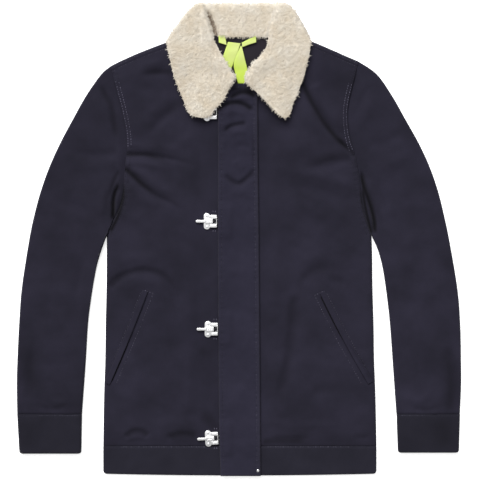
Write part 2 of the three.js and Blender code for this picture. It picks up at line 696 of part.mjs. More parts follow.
function leafGeometry(half) {
  const { roll, front, outer, shoulder } = LEAF[half];
  const below = LEAF_UP.filter((f) => f < OUTER_SHARE - 0.02).map((f) => f / OUTER_SHARE);
  const rest = LEAF_UP.filter((f) => f > OUTER_SHARE + 0.02);
  const above = rest.map((f) => (f - OUTER_SHARE) / (1 - OUTER_SHARE));
  const left = boundary({ along: roll, at: LEAF_UP });
  const right = boundary({ along: outer, at: [...below, 1] }, { along: shoulder, at: above });
  const bottom = boundary({ along: front, at: LEAF_ACROSS });
  const top = LEAF_ACROSS.map((u) => left.at(-1).clone().lerp(right.at(-1), u));
  const grid = patch({ left, right, bottom, top });
  return wall(grid, (p, i, j, row) => {
    const width = row[0].distanceTo(row.at(-1));
    const fromRoll = LEAF_ACROSS[i] * width;
    const fromEdge = (1 - LEAF_ACROSS[i]) * width;
    const fromFront = p.distanceTo(grid[0][i]);
    const round = rounded(Math.min(fromRoll, fromEdge, fromFront) + 0.15, PELT);
    const onStand = 1 - smooth((fromRoll - 12) / 22);
    const below = 1 - smooth((p.y - 292) / 30);
    const under = leafUnder(p);
    const thick = PELT + STAND_EXTRA * onStand * below;
    const middle = under + thick / 2;
    return [middle - (thick / 2) * round, middle + (thick / 2) * round];
  });
}

// The rolled band behind the neck, down to the shoulder and neck seams.
function bandGeometry() {
  const at = even(5);
  const rightLine = LEAF.right.shoulder;
  const leftLine = LEAF.left.shoulder.toReversed();
  const top = boundary({ along: rightLine, at }, { along: BAND_TOP, at: even(8) }, { along: leftLine, at });
  const seamGap = new THREE.Vector2(0, SEAM + 0.5);
  const rightSeam = column(SHOULDER.slice(-2), "rightX", "rightY").map(flat);
  const leftSeam = column(SHOULDER.slice(-2), "leftX", "leftY").map(flat).toReversed();
  const seam = [...rightSeam, ...leftSeam].map((p) => p.add(seamGap));
  const along = new THREE.CurvePath();
  seam.slice(1).forEach((p, i) => along.add(new THREE.LineCurve(seam[i], p)));
  const bottom = fractions(top).map((f) => along.getPointAt(f));
  const grid = [0, 0.12, 0.3, 0.5, 0.7, 0.86, 0.95, 1].map((v) =>
    bottom.map((p, i) => p.clone().lerp(top[i], v)),
  );
  return wall(grid, (p, i, j) => {
    const edge = p.distanceTo(grid.at(-1)[i]);
    const side = Math.min(p.distanceTo(grid[0][0]), p.distanceTo(grid[0].at(-1)));
    const round = rounded(Math.min(edge, side) + 0.15, 1.05 * PELT);
    const high = leafUnder({ x: p.x, y: BACK_NECK_Y }) + PELT - 1;
    const full = THREE.MathUtils.lerp(BAND_TOP_Z, high, smooth((Math.abs(p.x) - 52) / 26));
    const middle = NECK_LIFT;
    return [middle * (1 - round), middle + (full - middle) * round];
  });
}

// The part that is folded under the back, flat on the surface.
function underFallGeometry() {
  const grid = [0, 0.2, 0.5, 1].map((v) =>
    even(12).map((u) => {
      const x = THREE.MathUtils.lerp(-UNDER_FALL_X, UNDER_FALL_X, u);
      const top = Math.abs(x) < 90 ? BACK_NECK_Y + 8 : BACK_NECK_Y + 8 - 0.36 * (Math.abs(x) - 90);
      return new THREE.Vector2(x, THREE.MathUtils.lerp(UNDER_FALL_Y, top, v));
    }),
  );
  return wall(grid, (p, i, j) => {
    const edge = Math.min(p.y - UNDER_FALL_Y, UNDER_FALL_X - Math.abs(p.x));
    const dip = 2.4 * (1 - rounded(edge + 0.2, PELT));
    return [0.4 * dip, PELT - 0.2 - dip];
  });
}

const collarGeometry = () =>
  joined(bandGeometry(), underFallGeometry(), leafGeometry("right"), leafGeometry("left"));

// Hanger tape inside the back neck: each end runs from the neck seam to a fold, and a leg hangs
// from there. Each stretch lies between two edges, from its upper to its lower end.
const TAPES = {
  hanger_end_right: {
    layer: 1,
    left: [[-35.5, 350], [-35, 337.8]],
    right: [[-24.5, 350], [-21.5, 333.6]],
  },
  hanger_end_left: {
    layer: 1,
    left: [[28.5, 349.5], [18, 344.5], [4.2, 337.6]],
    right: [[28.9, 338], [17, 334.5], [5, 329.8]],
  },
  hanger_leg_right: {
    layer: 0,
    left: [[-19.4, 339], [-27.8, 315], [-35.5, 296]],
    right: [[2.2, 336.5], [-4.4, 316], [-15.6, 289]],
  },
  hanger_leg_left: {
    layer: 2,
    left: [[2.6, 332.6], [-9, 303.6], [-7.2, 286.5], [-2, 268.4]],
    right: [[4.6, 330], [9.8, 308.5], [13.6, 292.5], [12.6, 280], [9, 268.4]],
  },
};

function tapeGeometry({ left, right, layer }) {
  const [from, to] = [left, right].map((points) => boundary({ along: points, at: even(6) }));
  const grid = from.map((p, j) => even(2).map((u) => p.clone().lerp(to[j], u)));
  return wall(grid, (p) => {
    const under = CLOTH + neckRise(p) + LAYER + 0.5 + layer * TAPE.lift;
    return [under, under + TAPE.thick];
  });
}

// Clasps
const DISC_SIDES = 10;

function discAt(x, y, radius, thick) {
  const disc = new THREE.CylinderGeometry(radius, radius, thick, DISC_SIDES);
  return disc.rotateX(Math.PI / 2).translate(x, y, thick / 2);
}

function plateGeometry() {
  const { width, height, thick, rivet, rivetOut } = PLATE;
  const body = new THREE.BoxGeometry(width, height - width, thick).translate(0, 0, thick / 2);
  const sides = [-1, 1];
  const ears = sides.map((side) => discAt(0, (side * (height - width)) / 2, width / 2, thick));
  const rivets = sides.map((side) => discAt(0, side * rivetOut, rivet, thick + 0.8));
  const railWidth = RAIL.outer - RAIL.inner;
  const rails = sides.map((side) =>
    new THREE.BoxGeometry(RAIL.end - RAIL.start, railWidth, RAIL.thick)
      .translate((RAIL.start + RAIL.end) / 2, side * (RAIL.inner + railWidth / 2), RAIL.thick / 2),
  );
  const pin = new THREE.BoxGeometry(PIN.thick, 2 * RAIL.inner + 1, PIN.thick)
    .translate(RAIL.end - PIN.thick / 2, 0, PIN.lift + PIN.thick / 2);
  return joined(body, ...ears, ...rivets, ...rails, pin);
}

function leverGeometry() {
  const { tip, end, width, thick, hubX, hub, hubThick } = LEVER;
  const bar = new THREE.BoxGeometry(end - tip - width / 2, width, thick)
    .translate((tip + width / 2 + end) / 2, 0, thick / 2);
  const round = discAt(tip + width / 2, 0, width / 2, thick);
  const middle = new THREE.BoxGeometry(end - hubX, hub, hubThick)
    .translate((end + hubX) / 2, 0, hubThick / 2);
  return joined(bar, round, middle);
}

function wireGeometry() {
  const { thick, width, start, end } = WIRE;
  const outline = new THREE.Shape();
  const half = width / 2;
  outline.moveTo(start, -half).lineTo(end, -half).lineTo(end, half).lineTo(start, half).closePath();
  const inside = new THREE.Path();
  const inner = half - thick;
  inside.moveTo(start + thick, -inner).lineTo(start + thick, inner);
  inside.lineTo(end - thick, inner).lineTo(end - thick, -inner).closePath();
  outline.holes.push(inside);
  return new THREE.ExtrudeGeometry(outline, { depth: thick, bevelEnabled: false });
}

function snapGeometry() {
  const { radius, height } = SNAP;
  const profile = [[0, 0], [radius, 0], [radius, 0.35 * height], [0.72 * radius, 0.85 * height], [0, height]];
  return new THREE.LatheGeometry(profile.map(flat), 14).rotateX(Math.PI / 2);
}

// Assembly
const cloth = new THREE.MeshStandardMaterial({ color: NAVY, roughness: 0.92, metalness: 0 });
const trim = new THREE.MeshStandardMaterial({ color: NAVY_DARK, roughness: 0.92, metalness: 0 });
const wool = new THREE.MeshStandardMaterial({ color: CREAM, roughness: 1, metalness: 0 });
const tape = new THREE.MeshStandardMaterial({ color: NEON, roughness: 0.7, metalness: 0 });
const metal = new THREE.MeshStandardMaterial({ color: STEEL, roughness: 0.2, metalness: 1 });

const jacket = new THREE.Group();

function add(name, geometry, material, position = [0, 0, 0]) {
  const mesh = new THREE.Mesh(geometry, material);
  mesh.name = name;
  mesh.position.set(...position);
  jacket.add(mesh);
}

add("back", backGeometry(), cloth);
add("hem_back", hemBack(), trim);
for (const half of ["right", "left"]) {
  add(`front_${half}`, frontGeometry(half), cloth);
  add(`hem_front_${half}`, hemFront(half), trim);
  add(`sleeve_${half}`, sleeveGeometry(half), cloth);
  add(`cuff_${half}`, cuffGeometry(half), trim);
  add(`pocket_welt_${half}`, weltGeometry(half), trim);
}
add("flap", flapGeometry(), cloth);
add("collar", collarGeometry(), wool);
for (const [name, shape] of Object.entries(TAPES)) add(name, tapeGeometry(shape), tape);

CLASPS.forEach(({ x, y, turn }, i) => {
  const panelTop = frontTop({ x, y: y + PLATE.height / 2 }) + SEAM;
  const parts = [
    ["plate", plateGeometry(), 0],
    ["lever", leverGeometry(), PLATE.thick + SEAM],
    ["wire", wireGeometry(), 0],
  ];
  for (const [word, shape, lift] of parts)
    add(`clasp_${word}_${i + 1}`, shape.rotateZ(turn), metal, [x, y, panelTop + lift]);
});
const snapZ = flapUnder(SNAP) + FLAP_CLOTH + SEAM;
add("hem_snap", snapGeometry(), metal, [SNAP.x, SNAP.y, snapZ]);

export default jacket;
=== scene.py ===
"""A deck jacket laid flat: navy twill, a folded sheepskin collar, hanger tape and metal clasps.

Tables hold millimetres, as a paper pattern does, and MM turns them into metres.
+Y runs from the hem to the collar, +X to the wearer's left and +Z up from the surface.
"""

import logging
import math
import random
from dataclasses import dataclass, field
from enum import Enum
from typing import Callable, Sequence

import bmesh
import bpy
import numpy as np
from mathutils import Matrix, Vector
from mathutils.bvhtree import BVHTree


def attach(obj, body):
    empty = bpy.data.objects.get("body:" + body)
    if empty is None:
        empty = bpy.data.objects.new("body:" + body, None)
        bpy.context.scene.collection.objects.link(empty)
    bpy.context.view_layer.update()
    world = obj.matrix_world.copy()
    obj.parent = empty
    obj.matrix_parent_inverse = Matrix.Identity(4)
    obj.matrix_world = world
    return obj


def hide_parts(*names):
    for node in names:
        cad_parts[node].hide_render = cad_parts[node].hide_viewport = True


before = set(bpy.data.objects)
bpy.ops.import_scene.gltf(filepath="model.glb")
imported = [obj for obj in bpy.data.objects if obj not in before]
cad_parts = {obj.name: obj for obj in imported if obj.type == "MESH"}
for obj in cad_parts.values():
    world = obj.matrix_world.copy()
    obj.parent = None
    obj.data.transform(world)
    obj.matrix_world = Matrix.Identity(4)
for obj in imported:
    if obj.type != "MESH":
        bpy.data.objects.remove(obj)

LOG = logging.getLogger("deck_jacket")
MM = 0.001
BODY = "root"

# Cloth and layers, as in the solids
CLOTH = 3.0
SEAM = 0.3
LAYER = 0.4
EDGE_ROLL = 6.0
BAND_EXTRA = 0.6
MAX_LIFT = 7.5  # no fold of the fronts stands higher than this
FULLNESS = 2.8  # how far the fronts stand off the back between their folds
HEM_SEAM_Y = -352.6
HEM_MIDDLE_Y = -404.0
HEM_SIDE_Y = -401.0
CENTRE_X = 27.0
BACK_NECK_Y = 351.0
SHOULDER_SEAM_AT = 0.972
FLAP_TOP_Y = 268.0
FLAP_CLOTH = 2.6
PELT = 8.2
STAND_EXTRA = 5.0
BAND_TOP_Z = 17.5
UNDER_FALL_Y = 329.0
UNDER_FALL_X = 118.0
NECK_LIFT = PELT + 0.6
NECK_RAMP = 75.0
TIP_LIFT = 5.2
LEAF_EDGE_X, LEAF_EDGE_Y, LEAF_EDGE_SLOPE = 90.0, 215.0, 0.36
CLASPS = ((-55.5, 218.0, 0.0), (-55.5, 32.4, 0.0), (-53.9, -152.6, 0.0), (-53.2, -340.0, 0.06))  # x, y, turn
CLASP_HEIGHT = 28.0
CAP_TUCK = 0.7  # how far a sleeve reaches under the body at the armhole
SHEET_SKIN = 1.3  # thickness of a drawn layer of cloth

Points = np.ndarray
Line = Sequence[tuple[float, float]]
Range = tuple[float, float]
Place = Colour = tuple[float, float, float]
Faces = Sequence[tuple[int, ...]]
Thing = bpy.types.Object
Material = bpy.types.Material
Socket = bpy.types.NodeSocket

EVERYWHERE: Range = (-1000.0, 1000.0)


class Half(Enum):
    """The wearer's side, with the sign of X on that side."""

    RIGHT = -1
    LEFT = 1

    @property
    def word(self) -> str:
        """Name of the side, as node names spell it."""
        return self.name.lower()


class Held(Enum):
    """How a sheet of cloth is held."""

    LAID = "laid"
    FOLDED = "folded"


# Pattern tables
SIDE = {
    Half.RIGHT: ((-233.6, HEM_SEAM_Y), (-232.2, -268), (-230.2, -206), (-229.4, -144), (-228, -82),
                 (-227.5, -22), (-227.5, 8)),
    Half.LEFT: ((235.5, HEM_SEAM_Y), (233.8, -268), (231.5, -206), (230.5, -144), (228.7, -82),
                (228, -22), (226.8, 9)),
}
ARMHOLE = {
    Half.RIGHT: ((-227.5, 8), (-222.5, 22), (-213, 40), (-204, 60), (-199.5, 81), (-198, 107), (-195, 135),
                 (-193, 163), (-195, 190), (-202, 224), (-210, 255), (-221, 299)),
    Half.LEFT: ((226.8, 9), (219.6, 31), (213.6, 50), (210.2, 69), (208, 87), (206, 107), (202, 130),
                (198, 150), (190, 175), (186, 207), (188.5, 240), (205, 307)),
}
SHOULDER = {
    Half.RIGHT: ((-221, 299), (-201, 309), (-173, 321), (-126, 338), (-90, 350)),
    Half.LEFT: ((205, 307), (181, 317), (157, 327), (124, 340), (92, 350)),
}
NECKLINE = {
    Half.RIGHT: ((-87, 342), (-69, 315), (-50, 293), (-31, 275), (CENTRE_X, 258)),
    Half.LEFT: ((89, 342), (72, 315), (55, 293), (42, 275), (CENTRE_X, 258)),
}
SLEEVE_OUTER = {
    Half.RIGHT: ((-237, 285), (-263, 248), (-286, 207), (-308, 165.5), (-326.7, 124), (-341.2, 83),
                 (-352.2, 42), (-360.8, 0), (-373.4, -82), (-378, -144), (-381, -206), (-382, -247),
                 (-381.3, -298)),
    Half.LEFT: ((236, 285), (262.3, 248), (285.5, 207), (308.7, 165.5), (327.6, 124), (341.6, 83),
                (351.7, 42), (360.5, 0), (374.3, -82), (379.3, -144), (380.6, -206), (380.8, -247),
                (378.6, -298)),
}
SLEEVE_INNER = {
    Half.RIGHT: ((-232.6, -4), (-238, -20), (-244.2, -41), (-248.5, -62), (-254.7, -103), (-259.5, -144),
                 (-263.2, -206), (-267.5, -266), (-269.8, -298)),
    Half.LEFT: ((233, -4), (239.5, -20), (245.2, -41), (249, -62), (254.2, -103), (258.5, -144),
                (263, -206), (267.2, -266), (269.6, -298)),
}
POCKET = {
    Half.RIGHT: ((-156.5, -88), (-187, -166), (-222, -248)),
    Half.LEFT: ((137.6, -90.5), (176, -167), (221, -247)),
}


@dataclass(frozen=True)
class CuffLine:
    """Lower end of a sleeve: the seam line, the lower line and the edges between them."""

    seam_y: float
    hem_y: float
    outer: float
    outer_hem: float
    inner: float
    inner_hem: float


CUFFS = {
    Half.RIGHT: CuffLine(-298, -366.3, -381.3, -377.5, -269.8, -271),
    Half.LEFT: CuffLine(-298, -364.6, 378.8, 377, 269.8, 272),
}


@dataclass(frozen=True)
class Fold:
    """A soft ridge of the cloth along a line, or a trough where its height is negative.

    Args:
        line: Plan points of its crest.
        reach: Half its width.
        height: Its height, or its depth of tone where the fold is a shade.
        fade: Shares of its length over which it fades in and out.
    """

    line: Line
    reach: float
    height: float
    fade: tuple[float, float] = (0.3, 0.3)


FRONT_FOLDS = (
    Fold(((-207, 150), (-188, 147), (-159, 146), (-128, 141), (-93, 133),
          (-69, 126)), 3.6, -3.6, fade=(0.08, 0.5)),
    Fold(((-203, 133), (-176, 132), (-142, 128), (-102, 117)), 7, 2.6, fade=(0.15, 0.5)),
    Fold(((-200, 165), (-162, 160), (-119, 157), (-85, 147)), 8, 1.8, fade=(0.1, 0.4)),
    Fold(((-210, 117), (-198, 122), (-186, 114), (-171, 100), (-154, 85), (-140, 74), (-123, 66),
          (-105, 55), (-81, 42)), 4.0, -4.4, fade=(0.06, 0.5)),
    Fold(((-191, 124), (-171, 116), (-148, 98), (-123, 81), (-99, 67)), 7, 2.8, fade=(0.15, 0.4)),
    Fold(((-193, 97), (-174, 81), (-154, 64), (-130, 50)), 9, 2.0, fade=(0.15, 0.4)),
    Fold(((-88, 250), (-111, 227), (-136, 203), (-162, 172)), 8, -2.4, fade=(0.15, 0.35)),
    Fold(((-116, 255), (-140, 227), (-167, 200), (-185, 179)), 11, 1.8, fade=(0.2, 0.3)),
    Fold(((-174, 282), (-145, 286), (-116, 289)), 5, -2.8, fade=(0.45, 0.05)),
    Fold(((-171, 300), (-143, 303), (-119, 308)), 6, 1.6, fade=(0.3, 0.1)),
    Fold(((-195, 241), (-186, 210), (-178, 183)), 8, 1.2),
    Fold(((-224, -87), (-217, -75), (-197, -60), (-171, -53), (-145, -55), (-126, -67),
          (-114, -86), (-107, -110), (-102, -149)), 6, -3.6, fade=(0.06, 0.35)),
    Fold(((-219, -37), (-191, -31), (-157, -31), (-126, -41)), 10, 1.6),
    Fold(((-202, -89), (-179, -74), (-150, -72), (-131, -89), (-123, -113)), 8, 1.5),
    Fold(((-136, -192), (-109, -180), (-68, -184)), 14, -1.4),
    Fold(((-191, -189), (-176, -227), (-171, -271)), 12, 1.2),
    Fold(((-197, -340), (-183, -329), (-167, -328), (-155, -338)), 4.6, -3.2, fade=(0.1, 0.1)),
    Fold(((-195, -345), (-181, -339), (-167, -339), (-157, -345)), 4, 1.6, fade=(0.2, 0.2)),
    Fold(((-126, -342), (-104, -333), (-73, -335)), 5.2, -3.2, fade=(0.15, 0.1)),
    Fold(((-154, -316), (-116, -313), (-74, -316)), 9, 1.4),
    Fold(((-95, -297), (-66, -304), (-42, -322)), 9, -2.4, fade=(0.3, 0.1)),
    Fold(((-74, -199), (-57, -216), (-45, -240)), 10, -1.2),
    Fold(((-222, 59), (-191, 42), (-154, 31)), 10, 1.1),
    Fold(((-154, 7), (-109, 0), (-68, -17)), 14, -1.1),
    Fold(((106, 277), (118, 246), (134, 221), (149, 195), (168, 172)), 6.5, -5.2, fade=(0.05, 0.3)),
    Fold(((127, 269), (142, 239), (159, 212), (178, 184)), 9, 3.0, fade=(0.1, 0.3)),
    Fold(((94, 245), (110, 221), (128, 193), (146, 174)), 10, 2.0, fade=(0.2, 0.3)),
    Fold(((168, 174), (185, 157), (199, 143)), 3.6, -4.2, fade=(0.3, 0.05)),
    Fold(((104, 119), (135, 126), (170, 135), (197, 138)), 9, -3.0, fade=(0.35, 0.1)),
    Fold(((39, 126), (87, 119), (142, 109), (204, 92)), 10, 1.9, fade=(0.45, 0.15)),
    Fold(((39, 110), (87, 95), (142, 83), (204, 61)), 10, -1.8, fade=(0.45, 0.15)),
    Fold(((42, 81), (87, 62), (149, 47), (208, 28)), 13, 1.8),
    Fold(((63, 152), (104, 162), (142, 164)), 13, 1.2),
    Fold(((104, -82), (115, -63), (135, -50), (173, -48)), 8, -2.0, fade=(0.25, 0.4)),
    Fold(((149, -77), (166, -70), (185, -77)), 8, -1.6),
    Fold(((101, -37), (128, -29), (170, -27)), 12, 0.9),
    Fold(((94, -89), (92, -137), (86, -192), (75, -244), (56, -300)), 8, -3.4, fade=(0.12, 0.3)),
    Fold(((111, -123), (110, -189), (104, -249)), 13, 1.4),
    Fold(((182, -173), (196, -196), (211, -220), (227, -247)), 4.6, -2.8, fade=(0.25, 0.05)),
    Fold(((116, -268), (142, -258), (182, -261)), 11, -1.5),
    Fold(((41, -345), (79, -341), (125, -342)), 4.6, -2.8, fade=(0.1, 0.2)),
    Fold(((104, -323), (125, -316), (156, -320)), 7, 1.5),
    Fold(((194, -337), (214, -340), (228, -333)), 5, -1.8),
    Fold(((49, -309), (77, -316), (104, -330)), 8, 1.2),
)
FLAP_FOLDS = (
    Fold(((-16, 245), (1, 252), (17, 251), (27, 245)), 3.2, -2.4, fade=(0.15, 0.1)),
    Fold(((-13, 238), (5, 244), (20, 239)), 4, 1.4),
    Fold(((-33, 227), (-14, 235), (5, 233), (24, 221)), 3.6, -3.0, fade=(0.1, 0.1)),
    Fold(((-30, 214), (-9, 221), (15, 212)), 6, 1.8),
    Fold(((-26, 183), (-18, 193), (-4, 198), (13, 200)), 3.4, -2.8, fade=(0.2, 0.15)),
    Fold(((-18, 179), (-2, 186), (15, 184)), 5, 1.4),
    Fold(((-26, 179), (-30, 159), (-28, 135)), 5, 1.4),
    Fold(((-13, 157), (5, 162), (22, 155)), 6, -1.2),
    Fold(((-6, 141), (1, 128), (12, 121)), 8, 1.5),
    Fold(((-26, 114), (-14, 102), (1, 97), (20, 112), (25, 124)), 4.2, -2.8, fade=(0.15, 0.15)),
    Fold(((-19, 86), (-1, 81), (17, 90)), 7, 1.3),
    Fold(((12, 76), (20, 59), (22, 38)), 6, -1.2),
    Fold(((-23, -48), (-1, -55), (18, -48)), 9, 0.9),
    Fold(((-6, -117), (-2, -151), (-6, -185)), 12, 0.9),
    Fold(((-19, -199), (1, -209), (18, -237)), 8, -0.9),
    Fold(((1, -240), (5, -275), (1, -295)), 13, 1.0),
    Fold(((-9, -359), (8, -371), (25, -380)), 8, -0.9),
)
# Painted shade: the next four tables darken the cloth's colour along creases, seams and hollows, as shade
FRONT_SHADES = (
    Fold(((-208, 150), (-191, 147), (-165, 147), (-140, 142), (-112, 134)), 3.8, 0.72, fade=(0.03, 0.5)),
    Fold(((-214, 116), (-207, 119), (-198, 122), (-186, 114), (-169, 98), (-148, 81),
          (-126, 66)), 3.8, 0.95, fade=(0.05, 0.5)),
    Fold(((106, 279), (111, 264), (120, 245), (132, 224), (149, 197), (168, 174),
          (192, 151)), 4.6, 0.8, fade=(0.03, 0.2)),
    Fold(((171, 171), (185, 158), (199, 144)), 2.6, 0.4, fade=(0.3, 0.05)),
    Fold(((-201, 100), (-199, 76), (-202, 60), (-207, 45), (-212, 33),
          (-222, 14)), 3.2, 1.0, fade=(0.15, 0.05)),
    Fold(((208, 86), (214, 59), (220, 42), (228, 11)), 2.6, 1.0, fade=(0.15, 0.05)),
    Fold(((110, 134), (145, 140), (192, 148)), 11, 0.24, fade=(0.3, 0.1)),
    Fold(((94, -89), (92, -137), (86, -192), (76, -244), (62, -290)), 9, 0.26, fade=(0.1, 0.3)),
    Fold(((100, -92), (108, -68), (130, -54), (170, -50)), 7, 0.2, fade=(0.2, 0.3)),
    Fold(((-222, -84), (-216, -74), (-197, -60), (-171, -53), (-145, -55), (-124, -67),
          (-112, -86)), 5, 0.3, fade=(0.1, 0.4)),
    Fold(((-195, -338), (-183, -330), (-167, -329), (-157, -337)), 5, 0.42, fade=(0.1, 0.1)),
    Fold(((-123, -340), (-102, -334), (-73, -336)), 5.5, 0.42, fade=(0.2, 0.1)),
    Fold(((-167, 284), (-145, 286), (-116, 289)), 5, 0.45, fade=(0.6, 0.05)),
    Fold(((180, -172), (196, -196), (211, -220), (227, -249)), 4.6, 0.42, fade=(0.3, 0.05)),
    Fold(((39, -346), (79, -344), (123, -345)), 5, 0.5, fade=(0.05, 0.3)),
    Fold(((-90, 248), (-116, 224), (-140, 200)), 8, 0.22, fade=(0.1, 0.5)),
    Fold(((-74, -187), (-57, -192), (-40, -199)), 12, 0.22),
    Fold(((-70, -297), (-52, -308), (-39, -328)), 10, 0.4, fade=(0.3, 0.05)),
)
FLAP_SHADES = (
    Fold(((-18, 243), (1, 252), (17, 251), (29, 245)), 4.0, 0.8, fade=(0.1, 0.1)),
    Fold(((-37, 224), (-19, 234), (5, 234), (25, 221)), 4.2, 0.8, fade=(0.05, 0.15)),
    Fold(((-14, 258), (6, 260), (25, 253)), 4.0, 0.6, fade=(0.1, 0.1)),
    Fold(((-26, 183), (-18, 193), (-4, 198), (13, 200)), 3.6, 0.5, fade=(0.2, 0.15)),
    Fold(((-26, 114), (-14, 102), (1, 97), (20, 112), (25, 122)), 4.6, 0.42, fade=(0.2, 0.15)),
    Fold(((24, 190), (24, 155), (24, 121)), 3, 0.25),
)
SLEEVE_SHADES = {
    Half.RIGHT: (
        Fold(((-206, 97), (-213, 83), (-216, 64), (-216, 45), (-218, 33)), 2.8, 1.0, fade=(0.12, 0.15)),
        Fold(((-205, 121), (-216, 98), (-224, 69)), 2.4, 0.4, fade=(0.1, 0.5)),
        Fold(((-240, 269), (-228, 246), (-219, 229), (-214, 198), (-209, 171)), 4.5, 0.35, fade=(0.2, 0.2)),
        Fold(((-360, -182), (-358, -227), (-355, -278)), 10, 0.25),
    ),
    Half.LEFT: (
        Fold(((209, 116), (213, 95), (220, 74), (227, 52), (232, 33),
              (233, 11)), 2.8, 1.0, fade=(0.12, 0.05)),
        Fold(((211, 93), (213, 75), (217, 52), (221.5, 33), (227, 11)), 2.6, 1.0, fade=(0.15, 0.05)),
        Fold(((221, 93), (228, 69), (235, 45)), 5, 0.25),
        Fold(((358, -165), (364, -230), (362, -296)), 12, 0.36, fade=(0.3, 0.1)),
    ),
}
CUFF_SHADES = {
    Half.RIGHT: (Fold(((-362, -302), (-362, -332), (-361, -364)), 14, 0.16),),
    Half.LEFT: (Fold(((340, -302), (350, -332), (352, -364)), 18, 0.26),),
}
SLEEVE_FOLDS = {
    Half.RIGHT: (
        Fold(((-241, 272), (-228, 246), (-219, 229), (-214, 198), (-209, 169)), 5, -2.8, fade=(0.2, 0.2)),
        Fold(((-255, 258), (-241, 231), (-231, 200), (-226, 172)), 9, 1.8),
        Fold(((-308, 157), (-260, 147), (-207, 149)), 6, -2.2, fade=(0.5, 0.06)),
        Fold(((-298, 128), (-253, 126), (-209, 133)), 8, 1.6, fade=(0.4, 0.1)),
        Fold(((-205, 121), (-216, 97), (-224, 66)), 3.4, -2.0, fade=(0.2, 0.4)),
        Fold(((-206, 93), (-213, 81), (-216, 64), (-216, 45), (-218, 31)), 3.0, -6.0, fade=(0.08, 0.12)),
        Fold(((-228, 100), (-233, 69), (-236, 35)), 6, 1.6),
        Fold(((-357, 38), (-308, 12), (-257, 7)), 13, 1.3),
        Fold(((-326, 76), (-281, 59), (-240, 45)), 10, -1.3),
        Fold(((-363, -75), (-322, -89), (-271, -86)), 14, 1.1),
        Fold(((-308, -120), (-332, -172), (-329, -227)), 13, 1.2),
        Fold(((-350, -179), (-358, -220), (-360, -278)), 9, -2.2, fade=(0.25, 0.2)),
        Fold(((-339, -258), (-312, -278), (-284, -271)), 8, 1.2),
        Fold(((-291, -283), (-322, -290), (-353, -283)), 5, -1.4),
        Fold(((-260, -17), (-274, -62), (-277, -103)), 9, -1.2),
    ),
    Half.LEFT: (
        Fold(((239, 251), (218, 224), (206, 190)), 9, 1.6),
        Fold(((227, 272), (211, 241), (201, 210)), 6, -1.6),
        Fold(((304, 152), (261, 131), (214, 117)), 10, 1.4),
        Fold(((283, 186), (252, 169), (213, 159)), 8, -1.5),
        Fold(((209, 117), (213, 95), (220, 74), (227, 52), (231, 33),
              (232, 12)), 3.0, -6.0, fade=(0.08, 0.06)),
        Fold(((221, 110), (228, 76), (239, 45)), 5, 1.8),
        Fold(((235, 107), (242, 73), (252, 42)), 6, -1.4),
        Fold(((345, 21), (300, 0), (249, -17)), 13, 1.3),
        Fold(((311, 69), (276, 55), (239, 49)), 10, 1.1),
        Fold(((366, -65), (328, -89), (266, -99)), 14, 1.0),
        Fold(((294, -137), (325, -182), (328, -227)), 13, 1.2),
        Fold(((357, -179), (366, -227), (368, -295)), 8, -2.6, fade=(0.2, 0.15)),
        Fold(((331, -261), (307, -275), (280, -268)), 8, 1.2),
        Fold(((290, -285), (318, -292), (349, -285)), 5, -1.4),
        Fold(((280, -37), (294, -86), (290, -134)), 10, -1.2),
    ),
}


@dataclass(frozen=True)
class LeafOutline:
    """Plan of one leaf of the collar: its roll, front edge, outer edge and shoulder fold."""

    roll: Line
    front: Line
    outer: Line
    shoulder: Line


LEAVES = {
    Half.RIGHT: LeafOutline(
        roll=((-5, 278), (-14.6, 291), (-25.6, 311), (-43, 344), (-50.4, 368), (-56, 382), (-61, 402)),
        front=((-5, 278), (-19, 251.5), (-29, 234), (-41, 224), (-46, 213)),
        outer=((-46, 213), (-62, 207.5), (-79, 211), (-89, 219), (-100, 247), (-112, 276), (-120, 310),
               (-125.5, 335)),
        shoulder=((-125.5, 335), (-113.5, 355), (-98.7, 374.6), (-88, 389), (-75, 402)),
    ),
    Half.LEFT: LeafOutline(
        roll=((9.5, 278), (16, 293), (29, 308.6), (42, 324), (47, 338), (50, 362), (57, 382), (66, 402)),
        front=((9.5, 278), (11, 267), (31, 249), (50.5, 229), (66, 214)),
        outer=((66, 214), (77, 207), (87, 213), (93, 231), (102, 253), (111, 277), (119, 310), (123.5, 337)),
        shoulder=((123.5, 337), (113, 358), (99, 383), (92, 394), (83, 402)),
    ),
}
BAND_TOP: Line = ((-75, 402), (-61, 405), (0, 405.4), (70, 405), (83, 402))


# Plan geometry
def smooth(value: Points) -> Points:
    """Smooth step from 0 at 0 to 1 at 1."""
    t = np.clip(value, 0.0, 1.0)
    return t * t * (3 - 2 * t)


def bell(distance: Points, width: float) -> Points:
    """Bell curve: 1 at no distance, and nearly 0 beyond twice the width."""
    return np.exp(-((distance / width) ** 2))


def rounded(distance: Points, radius: float) -> Points:
    """Quarter-round profile of a folded edge: 0 at the edge and 1 from the radius inwards."""
    return np.sqrt(1 - (1 - np.clip(np.asarray(distance) / radius, 0, 1)) ** 2)


def spline(knots: Line, at: Sequence[float]) -> Points:
    """Points of a smooth curve through knots.

    Args:
        knots: Points that the curve goes through.
        at: Fractions of the curve's length.

    Returns:
        One plan point for each fraction.
    """
    k = np.asarray(knots, float)
    t = np.linspace(0, 1, 24, endpoint=False)[:, None]
    pieces = []
    for i in range(len(k) - 1):
        before, here, there, after = k[max(i - 1, 0)], k[i], k[i + 1], k[min(i + 2, len(k) - 1)]
        v0, v1 = (there - before) / 2, (after - here) / 2
        pieces.append((2 * here - 2 * there + v0 + v1) * t**3 + (3 * there - 3 * here - 2 * v0 - v1) * t**2
                      + v0 * t + here)
    return spaced(np.vstack([*pieces, k[-1:]]), at)


def curve(knots: Line, count: int, end: float = 1.0) -> Points:
    """Even points of a smooth curve through knots, as far as a fraction of its length."""
    return spline(knots, np.linspace(0, end, count))


